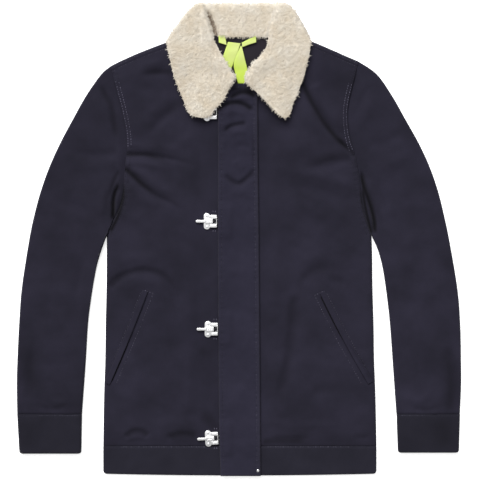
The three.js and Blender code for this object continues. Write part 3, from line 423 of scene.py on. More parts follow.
def level_row(start: float, end: float, y: float, count: int) -> Points:
    """Even points of a straight row across the jacket."""
    return np.c_[np.linspace(start, end, count), np.full(count, y)]


def lengths_of(line: Points) -> Points:
    """Running length at each point of a line."""
    return np.r_[0, np.cumsum(np.linalg.norm(np.diff(line, axis=0), axis=1))]


def spaced(line: Points, at: Sequence[float]) -> Points:
    """Points at fractions of a line's length."""
    run = lengths_of(line)
    place = np.asarray(at) * run[-1]
    return np.c_[np.interp(place, run, line[:, 0]), np.interp(place, run, line[:, 1])]


def moved(line: Points, distance: float) -> Points:
    """A line moved sideways; a positive distance is to the left of its direction."""
    along = np.gradient(line, axis=0)
    along /= np.linalg.norm(along, axis=1)[:, None]
    return line + distance * np.c_[-along[:, 1], along[:, 0]]


def graded(length: float, fine: float, coarse: float, reach: float) -> Points:
    """Fractions of a length that lie close together at both ends.

    Args:
        length: The whole length.
        fine: Step at the ends.
        coarse: Step in the middle.
        reach: How far the fine steps reach before they have grown.

    Returns:
        Fractions from 0 to 1.
    """
    half = [0.0]
    while half[-1] < length / 2:
        half.append(half[-1] + fine + (coarse - fine) * float(smooth(np.array(half[-1] / reach))))
    steps = np.asarray(half) / half[-1] / 2
    return np.r_[steps, 1 - steps[-2::-1]]


def patch(left: Points, right: Points, bottom: Points, top: Points) -> Points:
    """Grid of plan points between four lines that share their corners.

    Returns:
        Rows from bottom to top, each from left to right.
    """
    across = (lengths_of(bottom) / lengths_of(bottom)[-1] + lengths_of(top) / lengths_of(top)[-1]) / 2
    up = (lengths_of(left) / lengths_of(left)[-1] + lengths_of(right) / lengths_of(right)[-1]) / 2
    u, v = across[None, :, None], up[:, None, None]
    sides = left[:, None] * (1 - u) + right[:, None] * u
    ends = bottom[None] * (1 - v) + top[None] * v
    corners = (bottom[0] * (1 - u) + bottom[-1] * u) * (1 - v) + (top[0] * (1 - u) + top[-1] * u) * v
    return sides + ends - corners


def nearest_on(points: Points, line: Points) -> tuple[Points, Points]:
    """Where each point lies beside a line.

    Args:
        points: Plan points, in any grid.
        line: The line's points.

    Returns:
        The signed distance, positive to the left of the line, and the length along it.
    """
    best = np.full(points.shape[:-1], np.inf)
    signed = np.zeros_like(best)
    place = np.zeros_like(best)
    run = lengths_of(line)
    for i in range(len(line) - 1):
        step = line[i + 1] - line[i]
        size = float(np.hypot(*step)) or 1e-9
        offset = points - line[i]
        t = np.clip((offset @ step) / size**2, 0, 1)
        gap = offset - t[..., None] * step
        distance = np.hypot(gap[..., 0], gap[..., 1])
        side = step[0] * offset[..., 1] - step[1] * offset[..., 0]
        closer = distance < best
        best = np.where(closer, distance, best)
        signed = np.where(closer, np.where(side >= 0, distance, -distance), signed)
        place = np.where(closer, run[i] + t * size, place)
    return signed, place


def fold_height(points: Points, folds: Sequence[Fold]) -> Points:
    """Summed height of all folds at plan points; each fold fades out at its ends."""
    total = np.zeros(points.shape[:-1])
    for fold in folds:
        line = curve(fold.line, 22)
        low, high = line.min(0) - 3 * fold.reach, line.max(0) + 3 * fold.reach
        near = np.all((points > low) & (points < high), axis=-1)
        if not near.any():
            continue
        gap, place = nearest_on(points[near], line)
        length = lengths_of(line)[-1]
        ends = smooth(place / (fold.fade[0] * length)) * smooth((length - place) / (fold.fade[1] * length))
        total[near] += fold.height * ends * bell(gap, fold.reach)
    return total


def ripple(points: Points, wavelength: float, seed: int) -> Points:
    """Soft uneven surface of laid cloth, from -1 to 1, as a sum of plane waves."""
    rng = random.Random(seed)
    total = np.zeros(points.shape[:-1])
    waves = 14
    for _ in range(waves):
        turn, phase = rng.uniform(0, math.tau), rng.uniform(0, math.tau)
        pace = math.tau / (wavelength * rng.uniform(0.6, 1.8))
        total += np.sin(pace * (points[..., 0] * math.cos(turn) + points[..., 1] * math.sin(turn)) + phase)
    return total / math.sqrt(waves) / 1.6


def ripples(points: Points, *layers: tuple[float, float, int]) -> Points:
    """Summed ripples, each given by its height, its wavelength and its seed."""
    return sum(height * ripple(points, wavelength, seed) for height, wavelength, seed in layers)


# Shape of the lay
LIFT_START = {Half.RIGHT: 66.0, Half.LEFT: 42.0}  # distance from the middle, past the clasps and the flap
LIFT_RAMP, LEAF_RAMP = 22.0, 26.0
WIRE_ROOM, WIRE_REACH, WIRE_RAMP = 2.2, 36.0, 16.0  # room under the flap's free edge at each clasp
WIRE_END_X, WIRE_END_RAMP = -7.0, 12.0
TIP_TOP_Y, TIP_RAMP_Y, TIP_SIDE_X, TIP_RAMP_X = 292.0, 28.0, 92.0, 22.0  # where the leaves lie on the flap


def neck_rise(points: Points) -> Points:
    """How far the part of the collar that is folded under lifts what lies on it."""
    up = smooth((points[..., 1] - (UNDER_FALL_Y - 4 - NECK_RAMP)) / NECK_RAMP)
    across = smooth((UNDER_FALL_X + 4 + NECK_RAMP - np.abs(points[..., 0])) / NECK_RAMP)
    return NECK_LIFT * up * across


def layer_gap(points: Points) -> Points:
    """Gap between the back and the fronts, a little wider near the collar."""
    return SEAM + 0.8 * smooth((points[..., 1] - (UNDER_FALL_Y - 38 - NECK_RAMP)) / 30)


def front_lift(points: Points) -> Points:
    """How far the fronts stand off the back; none under the flap, clasps and collar."""
    x, y = np.abs(points[..., 0]), points[..., 1]
    start = np.where(points[..., 0] < 0, LIFT_START[Half.RIGHT], LIFT_START[Half.LEFT])
    beside = smooth((x - start) / LIFT_RAMP)
    outside = smooth((x - LEAF_EDGE_X - LEAF_EDGE_SLOPE * (y - LEAF_EDGE_Y)) / LEAF_RAMP)
    below = smooth((LEAF_EDGE_Y - 16 - y) / LEAF_RAMP)
    soft = ripples(points, (0.75, 62, 3), (0.3, 24, 4))
    folds = fold_height(points, FRONT_FOLDS) + FULLNESS + soft
    return np.clip(folds, -0.3, MAX_LIFT) * beside * np.maximum(outside, below)


def front_top(points: Points) -> Points:
    """Upper face of the fronts."""
    return 2 * CLOTH + neck_rise(points) + layer_gap(points) + front_lift(points)


def flap_under(points: Points) -> Points:
    """Lower face of the flap, with room for the hem band and each clasp's wire."""
    x, y = points[..., 0], points[..., 1]
    over_hem = (BAND_EXTRA + 0.4) * smooth((HEM_SEAM_Y + 14 - y) / 12)
    from_clasp = np.min([np.abs(y - at) for _, at, _ in CLASPS], axis=0)
    wires = WIRE_ROOM * smooth((WIRE_REACH - from_clasp) / WIRE_RAMP)
    over_wires = wires * smooth((WIRE_END_X - x) / WIRE_END_RAMP)
    return 2 * CLOTH + neck_rise(points) + layer_gap(points) + LAYER + over_hem + over_wires


def leaf_under(points: Points) -> Points:
    """Lower face of the collar's leaves, which climb over the flap and the top clasp."""
    low = smooth((TIP_TOP_Y - points[..., 1]) / TIP_RAMP_Y)
    tip = low * smooth((TIP_SIDE_X - np.abs(points[..., 0])) / TIP_RAMP_X)
    return 2 * CLOTH + neck_rise(points) + 1.8 * layer_gap(points) + LAYER + TIP_LIFT * tip


@dataclass
class SeamLine:
    """A sewn line that sinks into the cloth and puckers it.

    Args:
        line: Its plan points.
        depth: How deep the thread pulls the cloth down.
        width: Half the width of that groove.
        pucker: Height of the small waves beside it.
        pace: Length of one wave.
        tone: How light the thread is painted, from 0 to 1: its own lighter colour and a painted highlight.
        bright: X and Y ranges in which it is painted so; beyond them painted shade makes it dark.
    """

    line: Points
    depth: float = 0.36
    width: float = 1.5
    pucker: float = 0.28
    pace: float = 9.0
    tone: float = 0.3
    bright: tuple[Range, Range] = (EVERYWHERE, EVERYWHERE)

    def press(self, points: Points) -> Points:
        """Height that this line adds at plan points."""
        low, high = self.line.min(0) - 14, self.line.max(0) + 14
        near = np.all((points > low) & (points < high), axis=-1)
        result = np.zeros(points.shape[:-1])
        if near.any():
            gap, place = nearest_on(points[near], self.line)
            wave = np.sin(math.tau * place / self.pace + 2.2 * np.sin(place / 23.0) + np.sin(place / 7.1))
            result[near] = (-self.depth * bell(gap, self.width)
                            + self.pucker * wave * bell(gap, 3.2 * self.width))
        return result


def seams_press(points: Points, seams: Sequence[SeamLine]) -> Points:
    """Summed height of several sewn lines."""
    return sum((seam.press(points) for seam in seams), np.zeros(points.shape[:-1]))


# Grids
def pinned(line: Points, start: Points, end: Points, at: Points) -> Points:
    """A line shifted to start and end at two points; at holds the fraction of its length at each point."""
    t = at[:, None]
    return line + (start - line[0]) * (1 - t) + (end - line[-1]) * t


def straight(start: Points, end: Points, at: Points) -> Points:
    """Points of a straight line at fractions of its length."""
    return start + (end - start) * at[:, None]


def upright_grid(x: Points, y: Points) -> Points:
    """Grid of rows of y values over the same x values."""
    return np.stack([np.broadcast_to(x, y.shape), y], axis=-1)


def from_edge(grid: Points, column: int) -> Points:
    """Distance of each grid point from its row's point in a column."""
    return np.linalg.norm(grid - grid[:, [column]], axis=-1)


def from_row(grid: Points, row: int) -> Points:
    """Distance of each grid point from its column's point in a row."""
    return np.linalg.norm(grid - grid[[row]], axis=-1)


def from_sides(grid: Points) -> Points:
    """Distance of each grid point from the nearer end of its row."""
    return np.minimum(from_edge(grid, 0), from_edge(grid, -1))


def place_along(grid: Points) -> Points:
    """Length along the first column, for each grid point."""
    return np.repeat(lengths_of(grid[:, 0])[:, None], grid.shape[1], axis=1)


def place_across(grid: Points) -> Points:
    """Length along each row, for each grid point."""
    steps = np.linalg.norm(np.diff(grid, axis=1), axis=-1)
    return np.concatenate([np.zeros((len(grid), 1)), np.cumsum(steps, axis=1)], axis=1)


def ruled(left: Points, right: Points, across: Points) -> Points:
    """Grid of straight rows between two lines."""
    return left[:, None] * (1 - across[None, :, None]) + right[:, None] * across[None, :, None]


def lifted(grid: Points, height: Points) -> Points:
    """Plan grid with a height at each point."""
    return np.concatenate([grid, height[..., None]], axis=-1)


def unit(vectors: Points) -> Points:
    """Vectors of length 1."""
    return vectors / np.linalg.norm(vectors, axis=-1, keepdims=True)


# Mesh helpers
def link_mesh(name: str, points: Points, faces: Faces, cut: Points | None = None) -> Thing:
    """Object from millimetre points.

    Args:
        name: Object's name.
        points: One row for each vertex, in millimetres.
        faces: Vertex numbers of each face.
        cut: Place of each vertex on the flat cloth, in millimetres, for the weave.

    Returns:
        The new object, linked to the scene.
    """
    mesh = bpy.data.meshes.new(name)
    mesh.from_pydata((points * MM).tolist(), [], [tuple(f) for f in faces])
    if cut is not None:
        layer = mesh.uv_layers.new(name="cut")
        corner = np.empty(len(mesh.loops), dtype=np.int64)
        mesh.loops.foreach_get("vertex_index", corner)
        layer.data.foreach_set("uv", (cut[corner] * MM).ravel())
    mesh.polygons.foreach_set("use_smooth", np.ones(len(mesh.polygons), dtype=bool))
    mesh.update()
    thing = bpy.data.objects.new(name, mesh)
    bpy.context.scene.collection.objects.link(thing)
    return thing


def grid_faces(row_count: int, col_count: int, around: bool = False) -> list[tuple[int, int, int, int]]:
    """Quads of a grid, facing up where rows run up and columns run right."""
    wrap = col_count if around else col_count - 1
    return [
        (j * col_count + i, j * col_count + (i + 1) % col_count,
         (j + 1) * col_count + (i + 1) % col_count, (j + 1) * col_count + i)
        for j in range(row_count - 1)
        for i in range(wrap)
    ]


def places_and_normals(mesh: bpy.types.Mesh) -> tuple[Points, Points]:
    """Places of a mesh's vertices in millimetres, and their normals."""
    place, normal = np.empty(len(mesh.vertices) * 3), np.empty(len(mesh.vertices) * 3)
    mesh.vertices.foreach_get("co", place)
    mesh.vertices.foreach_get("normal", normal)
    return place.reshape(-1, 3) / MM, normal.reshape(-1, 3)


def apply_all(thing: Thing) -> None:
    """Apply every modifier of an object, in order."""
    bpy.ops.object.select_all(action="DESELECT")
    thing.select_set(True)
    bpy.context.view_layer.objects.active = thing
    for modifier in list(thing.modifiers):
        bpy.ops.object.modifier_apply(modifier=modifier.name)
    thing.select_set(False)


def thicken(thing: Thing, thickness: float) -> None:
    """Give a sheet its thickness, downwards from its outer face."""
    solid = thing.modifiers.new("cloth", "SOLIDIFY")
    solid.thickness = thickness * MM
    solid.offset = -1
    solid.use_even_offset = False
    apply_all(thing)


def facing_up(points: Points, faces: list[tuple[int, ...]]) -> list[tuple[int, ...]]:
    """The same faces, turned over if the first ones face down."""
    a, b, c = (points[faces[len(faces) // 2][k]] for k in (0, 1, 2))
    return faces if np.cross(b - a, c - a)[2] > 0 else [f[::-1] for f in faces]


def facing_out(points: Points, faces: list[tuple[int, ...]]) -> list[tuple[int, ...]]:
    """The same faces of a flat tube, turned over if most of them face inwards."""
    corner = points[np.array(faces)]
    normal = np.cross(corner[:, 1] - corner[:, 0], corner[:, 2] - corner[:, 0])
    above = corner.mean(1)[:, 2] - points[:, 2].mean()
    return faces if float((normal[:, 2] * above).sum()) > 0 else [f[::-1] for f in faces]


@dataclass
class Surfaces:
    """Upper faces of the cloth that stitches and trims are laid on."""

    points: list[Points] = field(default_factory=list)
    faces: list[tuple[int, ...]] = field(default_factory=list)

    def add(self, points: Points, faces: Sequence[Sequence[int]]) -> None:
        """Add a sheet's points and faces."""
        start = sum(len(p) for p in self.points)
        self.points.append(points)
        self.faces.extend(tuple(start + k for k in face) for face in faces)

    def tree(self) -> BVHTree:
        """Search tree over all the sheets."""
        return BVHTree.FromPolygons(np.vstack(self.points).tolist(), self.faces)


# Finishes
class Nodes:
    """Short forms for making shader nodes in one tree."""

    def __init__(self, tree: bpy.types.NodeTree) -> None:
        """Keep the tree."""
        self.tree = tree

    def fill(self, node: bpy.types.Node, **values: object) -> bpy.types.Node:
        """Set a node's values.

        Args:
            node: The node.
            values: Properties, or inputs by name with spaces as underscores. A socket is joined to its input.

        Returns:
            The same node.
        """
        for name, value in values.items():
            target = node.inputs.get(name.replace("_", " "))
            if target is None:
                setattr(node, name, value)
            elif isinstance(value, Socket):
                self.tree.links.new(value, target)
            else:
                target.default_value = value
        return node

    def add(self, kind: str, **values: object) -> bpy.types.Node:
        """New node of a kind, without the ShaderNode prefix, with its values."""
        return self.fill(self.tree.nodes.new("ShaderNode" + kind), **values)

    def place(self) -> Socket:
        """Place in the object's own space."""
        return self.add("TexCoord").outputs["Object"]

    def cut(self) -> Socket:
        """Place on the flat cloth."""
        return self.add("UVMap", uv_map="cut").outputs["UV"]

    def stored(self, name: str) -> Socket:
        """Number that is stored at each vertex."""
        return self.add("Attribute", attribute_name=name).outputs["Fac"]

    def noise(self, place: Socket, **values: float) -> Socket:
        """Noise at a place."""
        return self.add("TexNoise", Vector=place, **values).outputs["Fac"]

    def bands(self, place: Socket, direction: str, **values: float) -> Socket:
        """Waves that run in one direction."""
        return self.add("TexWave", wave_type="BANDS", bands_direction=direction, Vector=place,
                        **values).outputs["Fac"]

    def mix(self, share: float | Socket, one: Socket, other: Socket | tuple[float, ...],
            blend: str = "MIX") -> Socket:
        """Two colours blended by a share of the other one."""
        node = self.add("Mix", data_type="RGBA", blend_type=blend, Factor=share, A=one, B=other)
        return node.outputs["Result"]

    def weighed(self, one: Socket, weight: float, other: Socket) -> Socket:
        """One value times a weight, plus the other value."""
        node = self.add("Math", operation="MULTIPLY_ADD")
        self.tree.links.new(one, node.inputs[0])
        node.inputs[1].default_value = weight
        self.tree.links.new(other, node.inputs[2])
        return node.outputs["Value"]

    def ramp(self, source: Socket, *stops: tuple[float, Colour]) -> Socket:
        """Colour ramp fed by a value."""
        node = self.add("ValToRGB", Fac=source)
        while len(node.color_ramp.elements) < len(stops):
            node.color_ramp.elements.new(0.5)
        for element, (position, colour) in zip(node.color_ramp.elements, stops):
            element.position = position
            element.color = (*colour, 1)
        return node.outputs["Color"]

    def bump(self, height: Socket, strength: float, distance: float) -> Socket:
        """Normal of a fine relief."""
        return self.add("Bump", Height=height, Strength=strength, Distance=distance).outputs["Normal"]


def shell_material(name: str) -> tuple[Material, Nodes, bpy.types.Node]:
    """New material, with its node helper and its Principled shader."""
    material = bpy.data.materials.new(name)
    material.use_nodes = True
    return material, Nodes(material.node_tree), material.node_tree.nodes["Principled BSDF"]


def twill_group() -> bpy.types.NodeTree:
    """Node group of a fine diagonal weave.

    Returns:
        A group with two places as inputs, and the weave's height, yarn tone and broad tone.
    """
    group = bpy.data.node_groups.new("fine twill", "ShaderNodeTree")
    for name in ("Cut", "Place"):
        group.interface.new_socket(name, in_out="INPUT", socket_type="NodeSocketVector")
    for name in ("Height", "Yarn", "Broad"):
        group.interface.new_socket(name, in_out="OUTPUT", socket_type="NodeSocketFloat")
    nodes = Nodes(group)
    entry = group.nodes.new("NodeGroupInput").outputs
    ribs = nodes.bands(entry["Cut"], "DIAGONAL", Scale=380.0, Distortion=1.2, Detail=2.0, Detail_Scale=2.0)
    slub = nodes.noise(entry["Cut"], Scale=900.0, Detail=2.0, Roughness=0.6)
    broad = nodes.noise(entry["Place"], Scale=13.0, Detail=5.0, Roughness=0.6)
    leave = group.nodes.new("NodeGroupOutput")
    nodes.fill(leave, Height=nodes.weighed(ribs, 0.6, slub), Yarn=slub, Broad=broad)
    return group


@dataclass(frozen=True)
class TwillFinish:
    """Matte navy cotton twill: faint broad mottling, wear and painted highlight on edges, and painted shade.
    """

    name: str
    dark: Colour
    light: Colour
    # colour of rubbed edges and of the painted highlight on rolled edges and ridges
    wear_and_highlight: Colour = (0.026, 0.024, 0.036)
    # colour of the painted shade in creases, seams and pocket mouths
    shade: Colour = (0.003, 0.0026, 0.0045)

    def make(self, weave: bpy.types.NodeTree) -> Material:
        """Material of this cloth."""
        material, nodes, shader = shell_material(self.name)
        twill = nodes.add("Group", node_tree=weave, Cut=nodes.cut(), Place=nodes.place()).outputs
        broad = nodes.ramp(twill["Broad"], (0.34, self.dark), (0.66, self.light))
        yarn = nodes.mix(0.35, broad, twill["Yarn"], "SOFT_LIGHT")
        # Lighter where edges are rubbed and where a painted highlight lies on rolled edges and ridges
        edge = nodes.mix(nodes.stored("wear_and_highlight"), yarn, (*self.wear_and_highlight, 1))
        # Painted shade: darker where the shade mask is set
        deep = nodes.mix(nodes.stored("shade"), edge, (*self.shade, 1))
        nodes.fill(shader, Base_Color=deep, Normal=nodes.bump(twill["Height"], 0.35, 0.0003), Roughness=0.9,
                   Specular_IOR_Level=0.12, Sheen_Weight=0.04, Sheen_Roughness=0.5)
        return material


@dataclass(frozen=True)
class WoolFinish:
    """Cream sheepskin: warmer at the skin, pale at the curled tips, with painted shade deep in the pile and a
    painted glow.
    """

    name: str = "cream sheepskin"
    # painted shadow colour, for the roll's parting
    shadow: Colour = (0.105, 0.08, 0.06)
    root: Colour = (0.412, 0.378, 0.322)
    middle: Colour = (0.449, 0.418, 0.367)
    tip: Colour = (0.474, 0.447, 0.401)
    warm: Colour = (0.86, 0.78, 0.66)
    # painted light: the wool glows with its own colour, which evens out its shading
    glow: float = 0.75

    def make(self) -> Material:
        """Material of the wool."""
        material, nodes, shader = shell_material(self.name)
        place = nodes.place()
        # Painted shade: the tone runs from the shadow colour through the root to the pale tips
        depth = nodes.ramp(nodes.stored("tone"), (0.0, self.shadow), (0.2, self.root), (0.55, self.middle),
                           (1.0, self.tip))
        patches = nodes.noise(place, Scale=42.0, Detail=3.0, Roughness=0.6)
        warm = nodes.ramp(patches, (0.3, self.warm), (0.7, (1.0, 1.0, 1.0)))
        both = nodes.mix(0.55, depth, warm, "MULTIPLY")
        curls = nodes.noise(place, Scale=520.0, Detail=2.0)
        nodes.fill(shader, Base_Color=both, Emission_Color=both, Emission_Strength=self.glow,
                   Normal=nodes.bump(curls, 0.5, 0.0008), Roughness=0.9, Specular_IOR_Level=0.2,
                   Sheen_Weight=0.2, Sheen_Roughness=0.6)
        return material


@dataclass(frozen=True)
class TapeFinish:
    """Woven fluorescent tape with fine cross ribs, paler higher up and deeper in colour low down and along
    one edge.
    """

    name: str = "fluorescent hanger tape"
    deep: Colour = (0.45, 0.60, 0.055)
    bright: Colour = (0.47, 0.60, 0.10)
    pale: Colour = (0.49, 0.57, 0.165)
    glow: float = 0.1

    def make(self) -> Material:
        """Material of the tape."""
        material, nodes, shader = shell_material(self.name)
        ribs = nodes.bands(nodes.cut(), "Y", Scale=260.0, Distortion=0.3)
        colour = nodes.ramp(nodes.stored("tone"), (0.0, self.deep), (0.45, self.bright), (1.0, self.pale))
        nodes.fill(shader, Base_Color=colour, Emission_Color=colour, Emission_Strength=self.glow,
                   Normal=nodes.bump(ribs, 0.4, 0.0002), Roughness=0.5)
        return material


@dataclass(frozen=True)
class MetalFinish:
    """Bright polished nickel with faint wear."""

    name: str = "polished nickel"
    colour: Colour = (0.84, 0.84, 0.845)
    roughness: Range = (0.32, 0.48)

    def make(self) -> Material:
        """Material of the metal."""
        material, nodes, shader = shell_material(self.name)
        smear = nodes.noise(nodes.place(), Scale=220.0, Detail=3.0, Roughness=0.6)
        rough = nodes.add("MapRange", Value=smear, To_Min=self.roughness[0], To_Max=self.roughness[1])
        tint = nodes.ramp(smear, (0.3, tuple(0.86 * c for c in self.colour)), (0.6, self.colour))
        nodes.fill(shader, Base_Color=tint, Roughness=rough.outputs["Result"], Metallic=1.0)
        return material


@dataclass(frozen=True)
class ThreadFinish:
    """Navy sewing thread, glossier than the cloth and a shade lighter, with painted highlight where its tone
    is high.
    """

    name: str = "navy thread"
    low: Colour = (0.010, 0.0095, 0.0165)
    high: Colour = (0.125, 0.118, 0.165)

    def make(self) -> Material:
        """Material of the thread."""
        material, nodes, shader = shell_material(self.name)
        grain = nodes.noise(nodes.place(), Scale=700.0, Detail=1.0)
        spread = nodes.weighed(grain, 0.4, nodes.stored("tone"))
        nodes.fill(shader, Base_Color=nodes.ramp(spread, (0.3, self.low), (1.0, self.high)), Roughness=0.7,
                   Specular_IOR_Level=0.2)
        return material


@dataclass(frozen=True)
class FloorFinish:
    """Plain white floor that glows a little."""

    glow: float = 0.6
    whites: Range = (0.93, 0.95)

    def make(self) -> Material:
        """Material of the floor."""
        material, nodes, shader = shell_material("white floor")
        low, high = ((white, white, white) for white in self.whites)
        white = nodes.ramp(nodes.noise(nodes.place(), Scale=3.0), (0.3, low), (0.7, high))
        nodes.fill(shader, Base_Color=white, Emission_Color=white, Emission_Strength=self.glow, Roughness=1.0,
                   Specular_IOR_Level=0.0)
        return material


@dataclass
class Finishes:
    """All the finishes of the jacket, made once."""

    weave: bpy.types.NodeTree = field(default_factory=twill_group)

    def __post_init__(self) -> None:
        """Make the materials."""
        self.cloth, self.trim, self.flap, self.inside = (
            TwillFinish(name, dark, light).make(self.weave) for name, dark, light in (
                ("navy twill", (0.0115, 0.0105, 0.0185), (0.0175, 0.0158, 0.0280)),
                ("doubled twill", (0.0110, 0.0104, 0.0170), (0.0142, 0.0134, 0.0215)),
                ("flap twill", (0.0142, 0.0130, 0.0240), (0.0190, 0.0173, 0.0312)),
                ("navy lining", (0.0150, 0.0125, 0.0175), (0.0210, 0.0175, 0.0230)),
            ))
        self.wool, self.tape, self.thread = WoolFinish().make(), TapeFinish().make(), ThreadFinish().make()
        self.metal = MetalFinish().make()
        # Painted shade: nickel coloured dark, for the wire in shadow under the lever and the flap
        self.shade_painted_nickel = MetalFinish("shaded nickel", (0.10, 0.10, 0.105)).make()


def finish_piece(thing: Thing, material: Material, slot: str, *nodes: str) -> None:
    """Give a piece its material and body, and hide the solids that it stands for."""
    thing.data.materials.clear()
    thing.data.materials.append(material)
    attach(thing, BODY)
    if nodes:
        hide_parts(*nodes)
    LOG.info("%s: %d faces", thing.name, len(thing.data.polygons))


def store_value(thing: Thing, name: str, values: Points) -> None:
    """Store one number from 0 to 1 at each vertex, before the piece gets its thickness."""
    attribute = thing.data.attributes.new(name, "FLOAT", "POINT")
    attribute.data.foreach_set("value", np.clip(values, 0, 1).ravel().astype(np.float32))


@dataclass
class Tailor:
    """Makes sheets of cloth from plan grids, and remembers their faces and sewn lines."""

    finishes: Finishes
    surfaces: Surfaces = field(default_factory=Surfaces)
    threads: list[SeamLine] = field(default_factory=list)

    def sheet(self, name: str, grid: Points, top: Points, wear_and_highlight: Points, material: Material, slot: str,
              nodes: Sequence[str], rests_on: Sequence[str], skin: float = SHEET_SKIN,
              shade: Points | None = None) -> Thing:
        """One laid sheet.

        Args:
            name: Piece's name.
            grid: Rows of plan points.
            top: Height of the outer face at each of them.
            wear_and_highlight: Wear and painted highlight at each of them, from 0 to 1.
            material: Its finish.
            slot: Its slot in the record; not used.
            nodes: Solids that it replaces.
            rests_on: What it lies on; not used.
            skin: Its thickness.
            shade: Where painted shade darkens it, as in a pocket's mouth, from 0 to 1.

        Returns:
            The finished piece.
        """
        points = lifted(grid, top).reshape(-1, 3)
        faces = facing_up(points, grid_faces(*grid.shape[:2]))
        thing = link_mesh(name, points, faces, grid.reshape(-1, 2))
        store_value(thing, "wear_and_highlight", wear_and_highlight)
        if shade is not None:
            store_value(thing, "shade", shade)
        self.surfaces.add(points, faces)
        thicken(thing, skin)
        finish_piece(thing, material, slot, *nodes)
        return thing

    def sew(self, line: Points, **values: object) -> SeamLine:
        """Add a sewn line that shows its thread."""
        self.threads.append(SeamLine(line, **values))
        return self.threads[-1]


def snapped(at: Points, corner: float) -> Points:
    """Fractions with the nearest one moved onto a corner."""
    result = at.copy()
    result[np.argmin(np.abs(at - corner))] = corner
    return result


def outer_line(half: Half, fine: int, armhole_end: float = 1.0) -> tuple[Points, float]:
    """Side and armhole of one half of the body.

    Returns:
        Close points from the hem seam up, and the fraction of the length at the underarm.
    """
    side = curve(SIDE[half], fine)
    arm = moved(curve(ARMHOLE[half], fine, armhole_end), half.value * SEAM / 2)
    side[0, 1] = HEM_SEAM_Y + SEAM / 2
    line = np.vstack([side, arm[1:]])
    run = lengths_of(line)
    return line, float(run[len(side) - 1] / run[-1])


